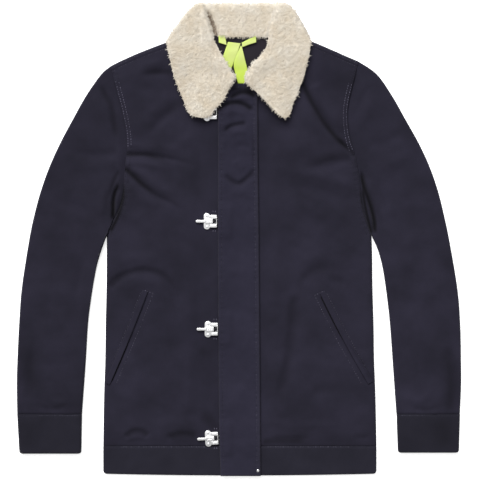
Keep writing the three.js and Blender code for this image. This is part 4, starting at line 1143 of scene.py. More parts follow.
@dataclass
class BodyPanels:
    """The back, the shoulder turns and the two fronts."""

    tailor: Tailor
    cell: float = 3.2
    fine: float = 0.8
    back_cell: float = 6.0
    back_fine: float = 1.6
    grading: float = 16.0
    samples: int = 60
    neck_corner: float = 86.0
    groove: float = 2.0
    stitch_rows: tuple[float, float] = (2.4, 7.6)
    shoulder_rows: tuple[float, float] = (-3.6, 1.6)
    # painted shade laid evenly over the whole of each front
    front_shade: float = 0.05
    # Painted highlight: heights within which the armhole rows' thread is painted light; elsewhere painted
    # shade dims it
    highlit_rows: dict[Half, Range] = field(default_factory=lambda: {
        Half.RIGHT: (160.0, 271.0), Half.LEFT: (153.0, 268.0)})

    def build(self) -> None:
        """Make all the panels."""
        for half in Half:
            self.front(half)
        self.back()
        for half in Half:
            self.shoulder_turn(half)

    def front_grid(self, half: Half) -> tuple[Points, float]:
        """Plan grid of a front, and its underarm's fraction of the rows."""
        outer, corner = outer_line(half, self.samples, SHOULDER_SEAM_AT)
        up = snapped(graded(lengths_of(outer)[-1], self.fine, self.cell, self.grading), corner)
        left = spaced(outer, up)
        neck = np.asarray(NECKLINE[half][0], float)
        seam = pinned(curve(SHOULDER[half], self.samples), left[-1], neck, np.linspace(0, 1, self.samples))
        neckline = curve(NECKLINE[half], self.samples)
        neckline[-1, 0] += half.value * SEAM / 2
        top_line = np.vstack([seam, neckline[1:]])
        across = graded(lengths_of(top_line)[-1], self.fine, self.cell, self.grading)
        top = spaced(top_line, across)
        right = np.c_[np.full(len(up), top[-1, 0]), left[0, 1] + (top[-1, 1] - left[0, 1]) * up]
        bottom = np.c_[left[0, 0] + (right[0, 0] - left[0, 0]) * across, np.full(len(across), left[0, 1])]
        return patch(left, right, bottom, top), corner

    def front(self, half: Half) -> None:
        """One front: its folds, the armhole and shoulder rows and the pocket rows."""
        tailor = self.tailor
        grid, corner = self.front_grid(half)
        arm = curve(ARMHOLE[half], self.samples, SHOULDER_SEAM_AT)
        bright = (EVERYWHERE, self.highlit_rows[half])
        rows = [tailor.sew(moved(arm, half.value * d), tone=1.0, bright=bright) for d in self.stitch_rows]
        shoulder = grid[-1][grid[-1][:, 0] * half.value > self.neck_corner]
        for d in self.shoulder_rows:
            rows.append(tailor.sew(shoulder - np.array([0, d * 1.06]), tone=0.34, depth=0.2))
        rows += pocket_seams(half, tailor)
        edge = from_edge(grid, 0)
        below = 1 - smooth((lengths_of(grid[:, 0]) / lengths_of(grid[:, 0])[-1] - corner + 0.01) / 0.02)
        side_drop = (CLOTH - 0.4) * (1 - rounded(edge, EDGE_ROLL)) * below[:, None]
        arm_dip = self.arm_dip(grid) * bell(edge, self.groove) * (1 - below[:, None])
        bottom, top_end = from_row(grid, 0), from_row(grid, -1)
        end_dip = 0.1 * bell(top_end, self.groove) + 0.4 * bell(bottom, 2.2)
        near_edge = rounded(edge + 0.2, 2 * EDGE_ROLL)
        near_edge = np.where(below[:, None] > 0.5, near_edge, 0.55 + 0.45 * near_edge)
        near_edge = near_edge * (0.12 + 0.88 * smooth(bottom / 26)) * (0.15 + 0.85 * smooth(top_end / 26))
        base = 2 * CLOTH + neck_rise(grid) + layer_gap(grid) + front_lift(grid) * near_edge
        press = seams_press(grid, rows)
        top = base - side_drop - arm_dip - end_dip + press + pocket_press(half, grid)
        # Lighter by the side seam's edge and on raised puckers: partly wear, partly painted highlight
        wear_and_highlight = 0.1 * below[:, None] * bell(edge, 1.6) + 0.1 * (press > 0.15)
        # Painted shade: the front is darkened a little overall and more along the lines of FRONT_SHADES
        tailor.sheet(f"twill_front_{half.word}", grid, top, wear_and_highlight, tailor.finishes.cloth, "cloth",
                     [f"front_{half.word}"], ["twill_back"],
                     shade=self.front_shade + fold_height(grid, FRONT_SHADES))

    @staticmethod
    def arm_dip(grid: Points) -> Points:
        """Depth of the groove along an armhole seam: shallow above, deep at the underarm."""
        return 0.45 + 1.7 * smooth((100 - grid[..., 1]) / 40)

    def back(self) -> None:
        """The back, flat on the surface and lifted over the folded collar at the neck."""
        left_line, corner = outer_line(Half.RIGHT, self.samples)
        right_line, right_corner = outer_line(Half.LEFT, self.samples)
        up = graded(lengths_of(left_line)[-1], self.back_fine, self.back_cell, self.grading)
        left, right = spaced(left_line, snapped(up, corner)), spaced(right_line, snapped(up, right_corner))
        shoulders = [curve(SHOULDER[half], 40) for half in Half]
        line = np.vstack([shoulders[0], shoulders[1][::-1]])
        line[0], line[-1] = left[-1], right[-1]
        across = graded(lengths_of(line)[-1], self.back_fine, self.back_cell, self.grading)
        top_row = spaced(line, across)
        grid = patch(left, right, straight(left[0], right[0], across), top_row)
        edge = from_sides(grid)
        height = CLOTH + neck_rise(grid) + 0.25 * ripple(grid, 30, 11) * smooth((grid[..., 1] - 250) / 30)
        height -= 0.3 * (1 - rounded(edge, EDGE_ROLL))
        finishes = self.tailor.finishes
        # The back's edges are painted lighter: partly wear, partly painted highlight
        back = self.tailor.sheet("twill_back", grid, height, 0.3 * bell(edge, 1.6), finishes.inside, "cloth",
                                 ["back"], ["surface"], skin=CLOTH - 0.5)
        back.data.materials.append(finishes.cloth)
        for face in back.data.polygons:
            face.material_index = int(face.normal.z < 0.5)

    def shoulder_turn(self, half: Half) -> None:
        """Strip of the back that turns over a shoulder to the seam on the front."""
        outer, _ = outer_line(half, self.samples, SHOULDER_SEAM_AT)
        at = graded(150, 1.2, 3.2, 8)
        edge = spline(SHOULDER[half], at)
        neck = np.asarray(NECKLINE[half][0], float)
        down = pinned(edge, outer[-1], neck, at) - edge
        reach = np.linalg.norm(down, axis=1, keepdims=True)
        steps = np.array([0.0, 0.03, 0.09, 0.18, 0.3, 0.45, 0.6, 0.75, 0.88, 1.0])
        grid = edge[None] + down[None] / reach[None] * ((reach[None] - 0.05) * steps[:, None, None])
        full = 2 * CLOTH + neck_rise(grid) + layer_gap(grid)
        from_top = from_row(grid, 0)
        top = full - (full - neck_rise(grid) - 1.5) * (1 - rounded(from_top + 0.1, 4.5))
        self.tailor.sheet(f"twill_shoulder_{half.word}", grid, top, np.zeros(grid.shape[:2]),
                          self.tailor.finishes.cloth, "cloth", [], ["twill_back"])


def pocket_line(half: Half, offset: float = 0.0, start: float = 0.0, end: float = 1.0) -> Points:
    """Line beside a pocket's opening; a positive offset is towards the side seam."""
    line = spline(POCKET[half], np.linspace(start, end, 40))
    return moved(line, half.value * offset)


def pocket_seams(half: Half, tailor: Tailor) -> list[SeamLine]:
    """Sewn rows of a pocket on its front."""
    inner = pocket_line(half, -9.5, 0.0, 0.97)
    first, last = pocket_line(half, 0)[0], inner[0]
    box = np.linspace(last, first + (first - last) * 0.95, 10)
    outer = pocket_line(half, 11.0, 0.04, 0.86)
    return [tailor.sew(inner, tone=0.5), tailor.sew(box, pucker=0.1, tone=0.6),
            tailor.sew(outer, pucker=0.12, tone=0.42)]


def pocket_press(half: Half, grid: Points) -> Points:
    """Soft dip along a pocket's opening, beside the welt."""
    line = pocket_line(half, -1.5)
    gap, place = nearest_on(grid, line)
    length = lengths_of(line)[-1]
    ends = smooth(place / 12) * smooth((length - place) / 12)
    return -1.5 * ends * bell(gap, 2.4)


@dataclass
class Pockets:
    """The two welts along the pocket openings, each with a strip in its mouth painted dark as shadow."""

    tailor: Tailor
    width: float = 9.5
    thick: float = 1.3
    mouth_depth: float = 0.7
    side_clear: float = 4.0
    gape: dict[Half, tuple[tuple[float, ...], tuple[float, ...]]] = field(default_factory=lambda: {
        Half.RIGHT: ((0, 0.05, 0.45, 0.6, 0.95, 1), (0.2, 0.4, 0.35, 1.7, 1.6, 0.4)),
        Half.LEFT: ((0, 0.05, 0.3, 0.42, 0.55, 1), (0.8, 1.9, 2.0, 1.6, 0.45, 0.3)),
    })

    def build(self) -> None:
        """Make both welts."""
        for half in Half:
            length = lengths_of(pocket_line(half))[-1]
            at = graded(length, 0.8, 2.5, 10)
            line = spline(POCKET[half], at)
            aside = half.value * (moved(line, 1.0) - line)
            gape = np.interp(at, *self.gape[half])[:, None]
            across = graded(self.width, 0.35, 1.0, 3)
            welt = np.stack([line + aside * self.width * u for u in across], axis=1)
            mouth = np.stack([line - aside * (0.05 + gape * u) for u in (1.0, 0.5, 0.0)], axis=1)
            limit = abs(SIDE[half][1][0]) - self.side_clear
            welt[..., 0] = np.clip(welt[..., 0], -limit, limit)
            ends = np.minimum(from_row(welt, 0), from_row(welt, -1))
            sides = from_sides(welt)
            round_edge = rounded(np.minimum(ends, sides) + 0.15, 1.6)
            top = front_top(welt) + LAYER + self.thick * (0.25 + 0.75 * round_edge)
            top += 0.12 * np.sin(place_along(welt) / 3.4) * (sides > 1)
            grid = np.concatenate([mouth, welt], axis=1)
            top = np.concatenate([front_top(mouth) - self.mouth_depth, top], axis=1)
            # Painted shadow: the mouth strip, and the welt's first column where the opening gapes, are
            # darkened
            shade = np.zeros(top.shape)
            shade[:, :mouth.shape[1]] = np.clip(0.1 + gape / 1.7, 0, 1)
            shade[:, mouth.shape[1]] = 0.9 * np.clip(gape[:, 0] - 0.4, 0, 1)
            self.tailor.sheet(f"twill_welt_{half.word}", grid, top, np.zeros(top.shape),
                              self.tailor.finishes.cloth, "trim_cloth", [f"pocket_welt_{half.word}"],
                              [f"twill_front_{half.word}"], shade=shade)


@dataclass
class HemBand:
    """The band round the hem: two fronts and the back."""

    tailor: Tailor
    corner: float = 6.0
    cell: float = 3.0
    # Painted highlight: where the hem row's thread is painted light; elsewhere painted shade dims it
    highlit_row: dict[Half, Range] = field(default_factory=lambda: {
        Half.RIGHT: (-205.0, -60.0), Half.LEFT: (34.0, 190.0)})

    def grid(self, start: float, end: float, round_start: bool, round_end: bool) -> Points:
        """Plan grid between two x values, with rounded lower corners."""
        x = start + (end - start) * graded(abs(end - start), 0.7, self.cell, 10)
        lower = HEM_SIDE_Y + (HEM_MIDDLE_Y - HEM_SIDE_Y) * np.clip(1 - (x / 235) ** 2, 0, 1)
        for on, at in ((round_start, start), (round_end, end)):
            if on:
                lower = lower + self.corner * (1 - rounded(np.abs(x - at), self.corner))
        up = graded(50, 0.7, 2.6, 10)[:, None]
        upper = HEM_SEAM_Y - SEAM / 2
        return upright_grid(x, lower + (upper - lower) * up)

    def build(self) -> None:
        """Make the three bands."""
        tailor = self.tailor
        for half in Half:
            side = SIDE[half][0][0]
            centre = CENTRE_X + half.value * SEAM / 2
            grid = self.grid(side, centre, True, False)
            visible = (side, -34.0) if half is Half.RIGHT else (side, 40.0)
            line = level_row(*visible, HEM_SEAM_Y - 2.0, 80)
            rows = [tailor.sew(line, pucker=0.3, depth=0.6, pace=11.0, tone=0.6,
                               bright=(self.highlit_row[half], EVERYWHERE))]
            edge = from_edge(grid, 0)
            low = from_row(grid, 0)
            drop = (CLOTH - 0.4) * (1 - rounded(edge, EDGE_ROLL)) + (CLOTH - 0.6) * (1 - rounded(low, 4.5))
            dip = 0.9 * bell(from_row(grid, -1), 1.6)
            top = 2 * CLOTH + SEAM + BAND_EXTRA + 0.3 - np.minimum(drop, CLOTH - 0.4) - dip
            top += 0.35 * ripple(grid, 26, 21 + half.value) * smooth(low / 12) + seams_press(grid, rows)
            # Lighter along the folded lower edge: partly wear, partly painted highlight
            wear_and_highlight = 0.5 * bell(low, 1.8)
            tailor.sheet(f"twill_hem_{half.word}", grid, top, wear_and_highlight, tailor.finishes.trim, "trim_cloth",
                         [f"hem_front_{half.word}"], ["twill_hem_back"])
        grid = self.grid(SIDE[Half.RIGHT][0][0], SIDE[Half.LEFT][0][0], True, True)
        tailor.sheet("twill_hem_back", grid, np.full(grid.shape[:2], CLOTH), np.zeros(grid.shape[:2]),
                     tailor.finishes.trim, "trim_cloth", ["hem_back"], ["surface"], skin=CLOTH - 0.1)


@dataclass
class Tube:
    """Makes a flattened tube, such as a sleeve, from a plan grid between its two edges."""

    tailor: Tailor
    under_step: int = 5
    edge_columns: int = 6

    def build(self, name: str, grid: Points, height: Points, lift: Points, wear_and_highlight: Points, shade: Points,
              material: Material, slot: str, node: str) -> None:
        """Make the tube.

        Args:
            name: Piece's name.
            grid: Rows along the tube, each from its outer to its inner edge.
            height: Full height of the tube at each row.
            lift: What the upper face adds to it.
            wear_and_highlight: Wear and painted highlight of the upper face.
            shade: Painted shade of the upper face, from 0 to 1.
            material: Its finish.
            slot: Its slot in the record; not used.
            node: Solid that it replaces.
        """
        middle = height[:, None] / 2
        edge = from_sides(grid)
        bulge = rounded(edge, float(height.max()) / 2)
        upper = middle + middle * bulge + lift * bulge
        under_columns = np.arange(grid.shape[1] - 2, 0, -1)
        coarse = np.arange(len(under_columns)) % self.under_step == 0
        near_edge = (under_columns < self.edge_columns) | (under_columns >= grid.shape[1] - self.edge_columns)
        under_columns = under_columns[coarse | near_edge]
        lower = (middle - middle * bulge)[:, under_columns]
        top, low = lifted(grid, upper), lifted(grid[:, under_columns], lower)
        ring = np.concatenate([top, low], axis=1)
        along = lengths_of(grid[:, grid.shape[1] // 2])
        cut = np.stack([place_across(ring), np.repeat(along[:, None], ring.shape[1], 1)], -1)
        points = ring.reshape(-1, 3)
        faces = facing_out(points, grid_faces(ring.shape[0], ring.shape[1], around=True))
        thing = link_mesh(name, points, faces, cut.reshape(-1, 2))
        plain = np.zeros((len(ring), len(under_columns)))
        store_value(thing, "wear_and_highlight", np.concatenate([wear_and_highlight, plain], axis=1))
        store_value(thing, "shade", np.concatenate([shade, plain], axis=1))
        top_faces = facing_up(top.reshape(-1, 3), grid_faces(*grid.shape[:2]))
        self.tailor.surfaces.add(top.reshape(-1, 3), top_faces)
        thicken(thing, SHEET_SKIN)
        for vertex in thing.data.vertices:
            vertex.co.z = max(vertex.co.z, 0.0)
        finish_piece(thing, material, slot, node)


@dataclass
class Sleeves:
    """Two sleeves with their cuffs."""

    tailor: Tailor
    height: float = 9.2
    cell: float = 3.4
    # Painted shade: the wearer's right sleeve is painted darker than the left, as the light falls
    shade: dict[Half, float] = field(default_factory=lambda: {Half.RIGHT: 0.13, Half.LEFT: 0.0})
    # painted shade laid evenly over the cuffs
    cuff_shade: float = 0.14
    # Painted highlight: where the cuff row's thread is painted light; elsewhere painted shade dims it
    highlit_row: dict[Half, Range] = field(default_factory=lambda: {
        Half.RIGHT: (-345.0, -272.0), Half.LEFT: (270.0, 327.0)})

    def build(self) -> None:
        """Make both sleeves and cuffs."""
        tube = Tube(self.tailor)
        for half in Half:
            self.sleeve(half, tube)
            self.cuff(half, tube)

    def sleeve(self, half: Half, tube: Tube) -> None:
        """One sleeve from the armhole to the cuff seam."""
        cap = moved(curve(ARMHOLE[half], 80), half.value * CAP_TUCK)[::-1]
        cap[-1, 0] += half.value * 0.8
        outer = curve([tuple(cap[0]), *SLEEVE_OUTER[half]], 120)
        inner = curve([tuple(cap[-1]), *SLEEVE_INNER[half]], 120)
        across = graded(150, 0.7, self.cell, 30)
        along = graded(lengths_of(outer)[-1], 1.0, self.cell, 14)
        left, right = spaced(outer, along), spaced(inner, along)
        bottom = spaced(cap, across)
        grid = patch(left, right, bottom, straight(left[-1], right[-1], across))
        from_cap = lengths_of(left)
        height = 2 * CLOTH + SEAM + (self.height - 2 * CLOTH - SEAM) * smooth(from_cap / 30)
        fade = smooth(from_cap / 16)[:, None]
        lift = fade * (fold_height(grid, SLEEVE_FOLDS[half]) + 0.8 * ripple(grid, 52, 31 + half.value)
                       + 0.2 * ripple(grid, 21, 35 + half.value) + 0.2)
        lift -= BodyPanels.arm_dip(grid) * bell(from_row(grid, 0), 2.0)
        lift -= 0.9 * bell(from_row(grid, -1), 2.0)
        lift += 0.16 * np.sin(place_across(grid) / 2.1) * bell(from_row(grid, -1), 9)
        # Lighter along the outer fold: partly wear, partly painted highlight
        wear_and_highlight = 0.2 * bell(from_edge(grid, 0), 2.0)
        # Painted shade: the sleeve's even shade plus the dark lines of SLEEVE_SHADES
        shade = self.shade[half] + fold_height(grid, SLEEVE_SHADES[half])
        tube.build(f"twill_sleeve_{half.word}", grid, height, lift, wear_and_highlight, shade, self.tailor.finishes.cloth,
                   "cloth", f"sleeve_{half.word}")

    def cuff(self, half: Half, tube: Tube) -> None:
        """One cuff, with a sewn row under its seam."""
        cuff = CUFFS[half]
        down = graded(abs(cuff.hem_y - cuff.seam_y), 0.6, 2.6, 9)
        y = cuff.seam_y - SEAM + (cuff.hem_y - cuff.seam_y + SEAM) * down
        corner = 5.0 * (1 - rounded(y - cuff.hem_y + 0.3, 5.0))
        sign = math.copysign(1, cuff.outer)
        outer = cuff.outer + (cuff.outer_hem - cuff.outer) * down - sign * corner
        inner = cuff.inner + (cuff.inner_hem - cuff.inner) * down + sign * corner
        across = graded(113, 0.7, 2.6, 10)
        x = outer[:, None] + (inner - outer)[:, None] * across
        grid = np.stack([x, np.broadcast_to(y[:, None], x.shape)], axis=-1)
        full = self.height + BAND_EXTRA
        ends = np.minimum(y - cuff.hem_y, 30)
        height = full - 3.4 * (1 - rounded(ends + 0.1, 4.5)) - 1.4 * bell(cuff.seam_y - y, 1.6)
        row = level_row(cuff.outer - sign * 4, cuff.inner + sign * 4, cuff.seam_y - 2.4, 60)
        rows = [self.tailor.sew(row, pucker=0.25, pace=8.0, tone=0.42,
                                bright=(self.highlit_row[half], EVERYWHERE))]
        lift = seams_press(grid, rows) + 0.3 * ripple(grid, 24, 41 + half.value)
        # Lighter along the folded end: partly wear, partly painted highlight
        wear_and_highlight = 0.5 * bell(ends[:, None], 2.0) * np.ones_like(x)
        # Painted shade: the cuff's even shade plus the dark patch of CUFF_SHADES
        shade = self.cuff_shade + fold_height(grid, CUFF_SHADES[half])
        tube.build(f"twill_cuff_{half.word}", grid, height, lift, wear_and_highlight, shade, self.tailor.finishes.trim,
                   "trim_cloth", f"cuff_{half.word}")


@dataclass
class Flap:
    """The fly over the front opening, sewn on along its left edge and free along the other."""

    tailor: Tailor
    corner: float = 12.0
    free_row: float = 6.0
    sewn_row: float = 6.5
    fullness: float = 1.6
    length: float = 672.0
    samples: int = 120

    def build(self) -> None:
        """Make the flap and its sewn rows."""
        tailor = self.tailor
        free = curve(((-32, HEM_MIDDLE_Y), (-34.4, -320), (-35.6, -150), (-36.4, 33), (-36, FLAP_TOP_Y)),
                     self.samples)
        sewn = curve(((36.8, HEM_MIDDLE_Y), (35.8, -250), (33.8, 0), (32, 150), (31.5, FLAP_TOP_Y)),
                     self.samples)
        up = graded(self.length, 0.8, 2.6, 12)
        left, right = spaced(free, up), spaced(sewn, up)
        left[:, 0] += self.corner * (1 - rounded((1 - up) * self.length + 0.5, self.corner))
        across = graded(71, 0.5, 2.4, 9)
        grid = ruled(left, right, across)
        rows = [
            tailor.sew(moved(free, -self.free_row), pucker=0.3, depth=0.3, tone=0.2),
            tailor.sew(moved(sewn, self.sewn_row), pucker=0.3, depth=0.35, tone=0.38),
            tailor.sew(level_row(-28, 30, FLAP_TOP_Y - 6, 30)),
        ]
        from_free, from_sewn = from_edge(grid, 0), from_edge(grid, -1)
        low, high = from_row(grid, 0), from_row(grid, -1)
        thick = FLAP_CLOTH - 1.7 * (1 - rounded(np.minimum(from_free, np.minimum(low, high)) + 0.1, 2.6))
        thick += 0.35 * bell(from_sewn - 3.2, 2.6) - 1.2 * (1 - rounded(from_sewn + 0.1, 2.0))
        inside = rounded(np.minimum(from_free, from_sewn) + 0.2, 9)
        soft = ripples(grid, (0.35, 44, 51), (0.2, 17, 52))
        soft += inside * (fold_height(grid, FLAP_FOLDS) + self.fullness)
        top = flap_under(grid) + thick + soft + seams_press(grid, rows)
        # Lighter along the free edge and the sewn roll: partly wear, partly painted highlight
        wear_and_highlight = 0.15 * bell(from_free, 1.5) + 0.3 * bell(from_sewn - 2.6, 2.2)
        # Painted shade along the arcs of FLAP_SHADES
        tailor.sheet("twill_flap", grid, top, wear_and_highlight, tailor.finishes.flap, "cloth", ["flap"],
                     ["twill_front_right", "twill_front_left"], shade=fold_height(grid, FLAP_SHADES))


STITCH_FACES = (*((k, k + 4, k + 5, k + 1) for k in (0, 1, 2, 4, 5, 6)),
                (0, 1, 2, 3), (11, 10, 9, 8), (3, 7, 4, 0), (7, 11, 8, 4))


@dataclass
class Topstitching:
    """Thread of all the sewn rows, as small arched stitches."""

    tailor: Tailor
    length: float = 2.2
    pitch: float = 4.3
    width: float = 0.45
    rise: float = 0.28
    # Painted shade: share of its tone that a row's thread keeps outside its highlit range
    dim: float = 0.12
    steepest: float = 1.5
    tack_columns: tuple[float, float] = (10.5, 14.5)
    tack_start: float = 15.5
    tack_length: float = 2.4

    def build(self) -> None:
        """Lay every stitch on the cloth under it."""
        tree = self.tailor.surfaces.tree()
        points: list[Vector] = []
        faces: list[tuple[int, ...]] = []
        tones: list[float] = []
        for seam in self.tailor.threads:
            run = lengths_of(seam.line)[-1]
            count = max(int(run / self.pitch), 1)
            for k in range(count):
                a = k * self.pitch / run
                b = min(a + self.length / run, 1.0)
                self.stitch(spaced(seam.line, (a, (a + b) / 2, b)), tree, points, faces)
                place = spaced(seam.line, (a,))[0]
                # Painted highlight: a stitch within its row's range keeps its full tone; painted shade dims
                # the others
                lit = all(low < at < high for at, (low, high) in zip(place, seam.bright))
                patchy = 0.6 + 0.25 * math.sin(k * 2.4) + 0.15 * math.sin(k * 0.37)
                tones += [seam.tone * (1.0 if lit else self.dim) * patchy] * (len(points) - len(tones))
        for clasp_x, y, _ in CLASPS[1:]:
            for column in self.tack_columns:
                for side in (-1, 1):
                    start = y + side * self.tack_start
                    tack = [(clasp_x + column, start + side * self.tack_length * k / 2) for k in range(3)]
                    self.stitch(np.array(tack), tree, points, faces)
        tones += [1.0] * (len(points) - len(tones))
        thing = link_mesh("topstitching", np.array([tuple(p) for p in points]), faces)
        store_value(thing, "tone", np.array(tones))
        finish_piece(thing, self.tailor.finishes.thread, "cloth")

    def stitch(self, line: Points, tree: BVHTree, points: list[Vector], faces: list[tuple[int, ...]]) -> None:
        """One stitch along three plan points, if there is cloth under it."""
        hits = [tree.ray_cast(Vector((x, y, 100)), Vector((0, 0, -1)))[0] for x, y in line]
        if any(hit is None for hit in hits) or np.ptp([hit.z for hit in hits]) > self.steepest:
            return
        along = (hits[2] - hits[0]).normalized()
        across = Vector((-along.y, along.x, 0)).normalized() * self.width
        start = len(points)
        for hit, rise in zip(hits, (-0.1, self.rise, -0.1)):
            for corner in ((-1, 0.0), (-0.6, 1.0), (0.6, 1.0), (1, 0.0)):
                points.append(hit + across * corner[0] + Vector((0, 0, rise + 0.16 * corner[1])))
        faces.extend(tuple(start + k for k in face) for face in STITCH_FACES)


@dataclass
class Collar:
    """One sheepskin piece, folded down: a fused skin with thousands of short curled locks."""

    finishes: Finishes
    voxel: float = 2.2
    fine: float = 0.8
    cell: float = 3.0
    grading: float = 9.0
    wool_depth: float = 2.6
    edge_depth: float = 1.0
    lock_length: float = 3.6
    lock_width: float = 1.05
    area_per_lock: float = 2.05
    curl_relief: float = 0.42
    clump_relief: float = 0.65
    roll_rise: float = 3.2
    roll_sink: float = 5.2
    leaf_bounds: tuple[float, float] = (-42.0, 46.0)

    def build(self) -> None:
        """Make the skin and its wool."""
        parts = [self.leaf(half) for half in Half] + [self.band(), self.under_fall()]
        skin = self.fuse(parts)
        self.settle(skin)
        finish_piece(skin, self.finishes.wool, "sheepskin", "collar")
        self.grow(skin)

    def closed(self, name: str, grid: Points, low: Points, high: Points) -> Thing:
        """Closed solid between two heights over a grid."""
        rows, cols = grid.shape[:2]
        top, bottom = lifted(grid, high).reshape(-1, 3), lifted(grid, low).reshape(-1, 3)
        count = rows * cols
        quads = grid_faces(rows, cols)
        upper = facing_up(top, quads)
        turned = upper is not quads
        faces = list(upper) + [tuple(count + k for k in f[::-1]) for f in upper]
        number = np.arange(count).reshape(rows, cols)
        loop = [*number[0], *number[1:, -1], *number[-1, -2::-1], *number[-2:0:-1, 0]]
        for a, b in zip(loop, loop[1:] + loop[:1]):
            side = (a, count + a, count + b, b)
            faces.append(side[::-1] if turned else side)
        return link_mesh(name, np.vstack([top, bottom]), faces)

    def leaf(self, half: Half) -> Thing:
        """One leaf, thick over the stand and rounded at its edges."""
        plan = LEAVES[half]
        left_line = curve(plan.roll, 60)
        right_line = np.vstack([curve(plan.outer, 60), curve(plan.shoulder, 40)[1:]])
        up, across = (graded(size, self.fine, self.cell, self.grading) for size in (190, 95))
        left, right = spaced(left_line, up), spaced(right_line, up)
        bottom = spline(plan.front, across)
        grid = patch(left, right, bottom, straight(left[-1], right[-1], across))
        from_roll, from_outer, from_front = from_edge(grid, 0), from_edge(grid, -1), from_row(grid, 0)
        round_edge = rounded(np.minimum(np.minimum(from_roll, from_outer), from_front) + 0.15, PELT)
        on_stand = 1 - smooth((from_roll - 12) / 22)
        below = 1 - smooth((grid[..., 1] - 292) / 30)
        thick = PELT + STAND_EXTRA * on_stand * below
        middle = leaf_under(grid) + thick / 2
        reach = thick / 2 * round_edge
        return self.closed(f"leaf_{half.word}", grid, middle - reach, middle + reach)

    def band(self) -> Thing:
        """The rolled band behind the neck."""
        shoulders = {half: curve(LEAVES[half].shoulder, 40) for half in Half}
        top_line = np.vstack([shoulders[Half.RIGHT], curve(BAND_TOP, 60)[1:],
                              shoulders[Half.LEFT][::-1][1:]])
        right_seam = [(x, y + SEAM + 0.5) for x, y in SHOULDER[Half.RIGHT][-2:]]
        left_seam = [(x, y + SEAM + 0.5) for x, y in SHOULDER[Half.LEFT][-2:]][::-1]
        across = graded(300, 2.0, self.cell, self.grading)
        top, bottom = spaced(top_line, across), spaced(np.array(right_seam + left_seam), across)
        up = np.array([0, 0.05, 0.12, 0.2, 0.3, 0.4, 0.5, 0.6, 0.7, 0.78, 0.85, 0.91, 0.95, 0.98, 1.0])
        grid = bottom[None] + (top - bottom)[None] * up[:, None, None]
        from_top = from_row(grid, -1)
        corners = np.min([np.linalg.norm(grid - grid[0, k], axis=-1) for k in (0, -1)], axis=0)
        round_edge = rounded(np.minimum(from_top, corners) + 0.15, 1.05 * PELT)
        at_neck = np.stack([grid[..., 0], np.full(grid.shape[:2], BACK_NECK_Y)], axis=-1)
        high = leaf_under(at_neck) + PELT - 1
        full = BAND_TOP_Z + (high - BAND_TOP_Z) * smooth((np.abs(grid[..., 0]) - 52) / 26)
        return self.closed("band", grid, NECK_LIFT * (1 - round_edge),
                           NECK_LIFT + (full - NECK_LIFT) * round_edge)

    def under_fall(self) -> Thing:
        """The part that is folded under the back."""
        x = np.linspace(-UNDER_FALL_X, UNDER_FALL_X, 60)
        top = BACK_NECK_Y + 8 - 0.36 * np.clip(np.abs(x) - 90, 0, None)
        up = np.linspace(0, 1, 14)[:, None]
        grid = upright_grid(x, UNDER_FALL_Y + (top - UNDER_FALL_Y) * up)
        edge = np.minimum(grid[..., 1] - UNDER_FALL_Y, UNDER_FALL_X - np.abs(grid[..., 0]))
        dip = 2.4 * (1 - rounded(edge + 0.2, PELT))
        return self.closed("under_fall", grid, 0.4 * dip, PELT - 0.2 - dip)

    def fuse(self, parts: list[Thing]) -> Thing:
        """Join the parts into one smooth skin."""
        skin = Bench.join("sheepskin", parts)
        remesh = skin.modifiers.new("fuse", "REMESH")
        remesh.mode = "VOXEL"
        remesh.voxel_size = self.voxel * MM
        relax = skin.modifiers.new("relax", "SMOOTH")
        relax.factor, relax.iterations = 0.5, 3
        apply_all(skin)
        return skin

    def settle(self, skin: Thing) -> None:
        """Sink the skin by the wool's depth, give it soft clumps and part it along the roll."""
        mesh = skin.data
        place, normal = places_and_normals(mesh)
        clumps = self.clumps(place)
        sink = np.array([self.edge_depth, self.edge_depth, self.wool_depth])
        moved_place = place + normal * (self.clump_relief * clumps[:, None] - sink)
        overhang = (smooth((-normal[:, 1] - 0.2) / 0.5) * smooth((place[:, 1] - 347) / 3)
                    * smooth((360 - place[:, 1]) / 4) * smooth((place[:, 2] - 10) / 3))
        moved_place[:, 1] -= 4.5 * overhang
        moved_place[:, 2] += self.parting(place) * smooth((place[:, 2] - 10) / 4)
        moved_place[:, 2] = np.maximum(moved_place[:, 2], 0.4)
        mesh.vertices.foreach_set("co", (moved_place * MM).ravel())
        # Painted light and shade: lighter on the clumps and the roll, darker in hollows and the sunk strip
        # beside the roll
        store_value(skin, "tone", 0.25 + 0.14 * clumps + 0.05 * self.parting(place))
        mesh.polygons.foreach_set("use_smooth", np.ones(len(mesh.polygons), dtype=bool))
        mesh.update()

    def parting(self, place: Points) -> Points:
        """Height that the right leaf's rolled edge adds: raised on the leaf, sunk beside it."""
        roll = curve(LEAVES[Half.RIGHT].roll, 40)
        gap, along = nearest_on(place[:, :2], roll)
        ends = smooth((along - 58) / 22) * smooth((lengths_of(roll)[-1] - along - 6) / 18)
        raised = self.roll_rise * bell(gap - 5.0, 5.5) * (gap > -4)
        sunk = -self.roll_sink * bell(gap + 4.2, 4.6)
        return (raised + sunk) * ends * smooth((place[:, 2] - 4) / 3)

    def clumps(self, place: Points) -> Points:
        """Uneven woolly clumps at points in millimetres, from -1 to 1."""
        plan = place[:, :2] + 0.6 * place[:, 2:3]
        return np.clip(ripples(plan, (0.7, 8.5, 61), (0.5, 4.6, 62)), -1, 1)

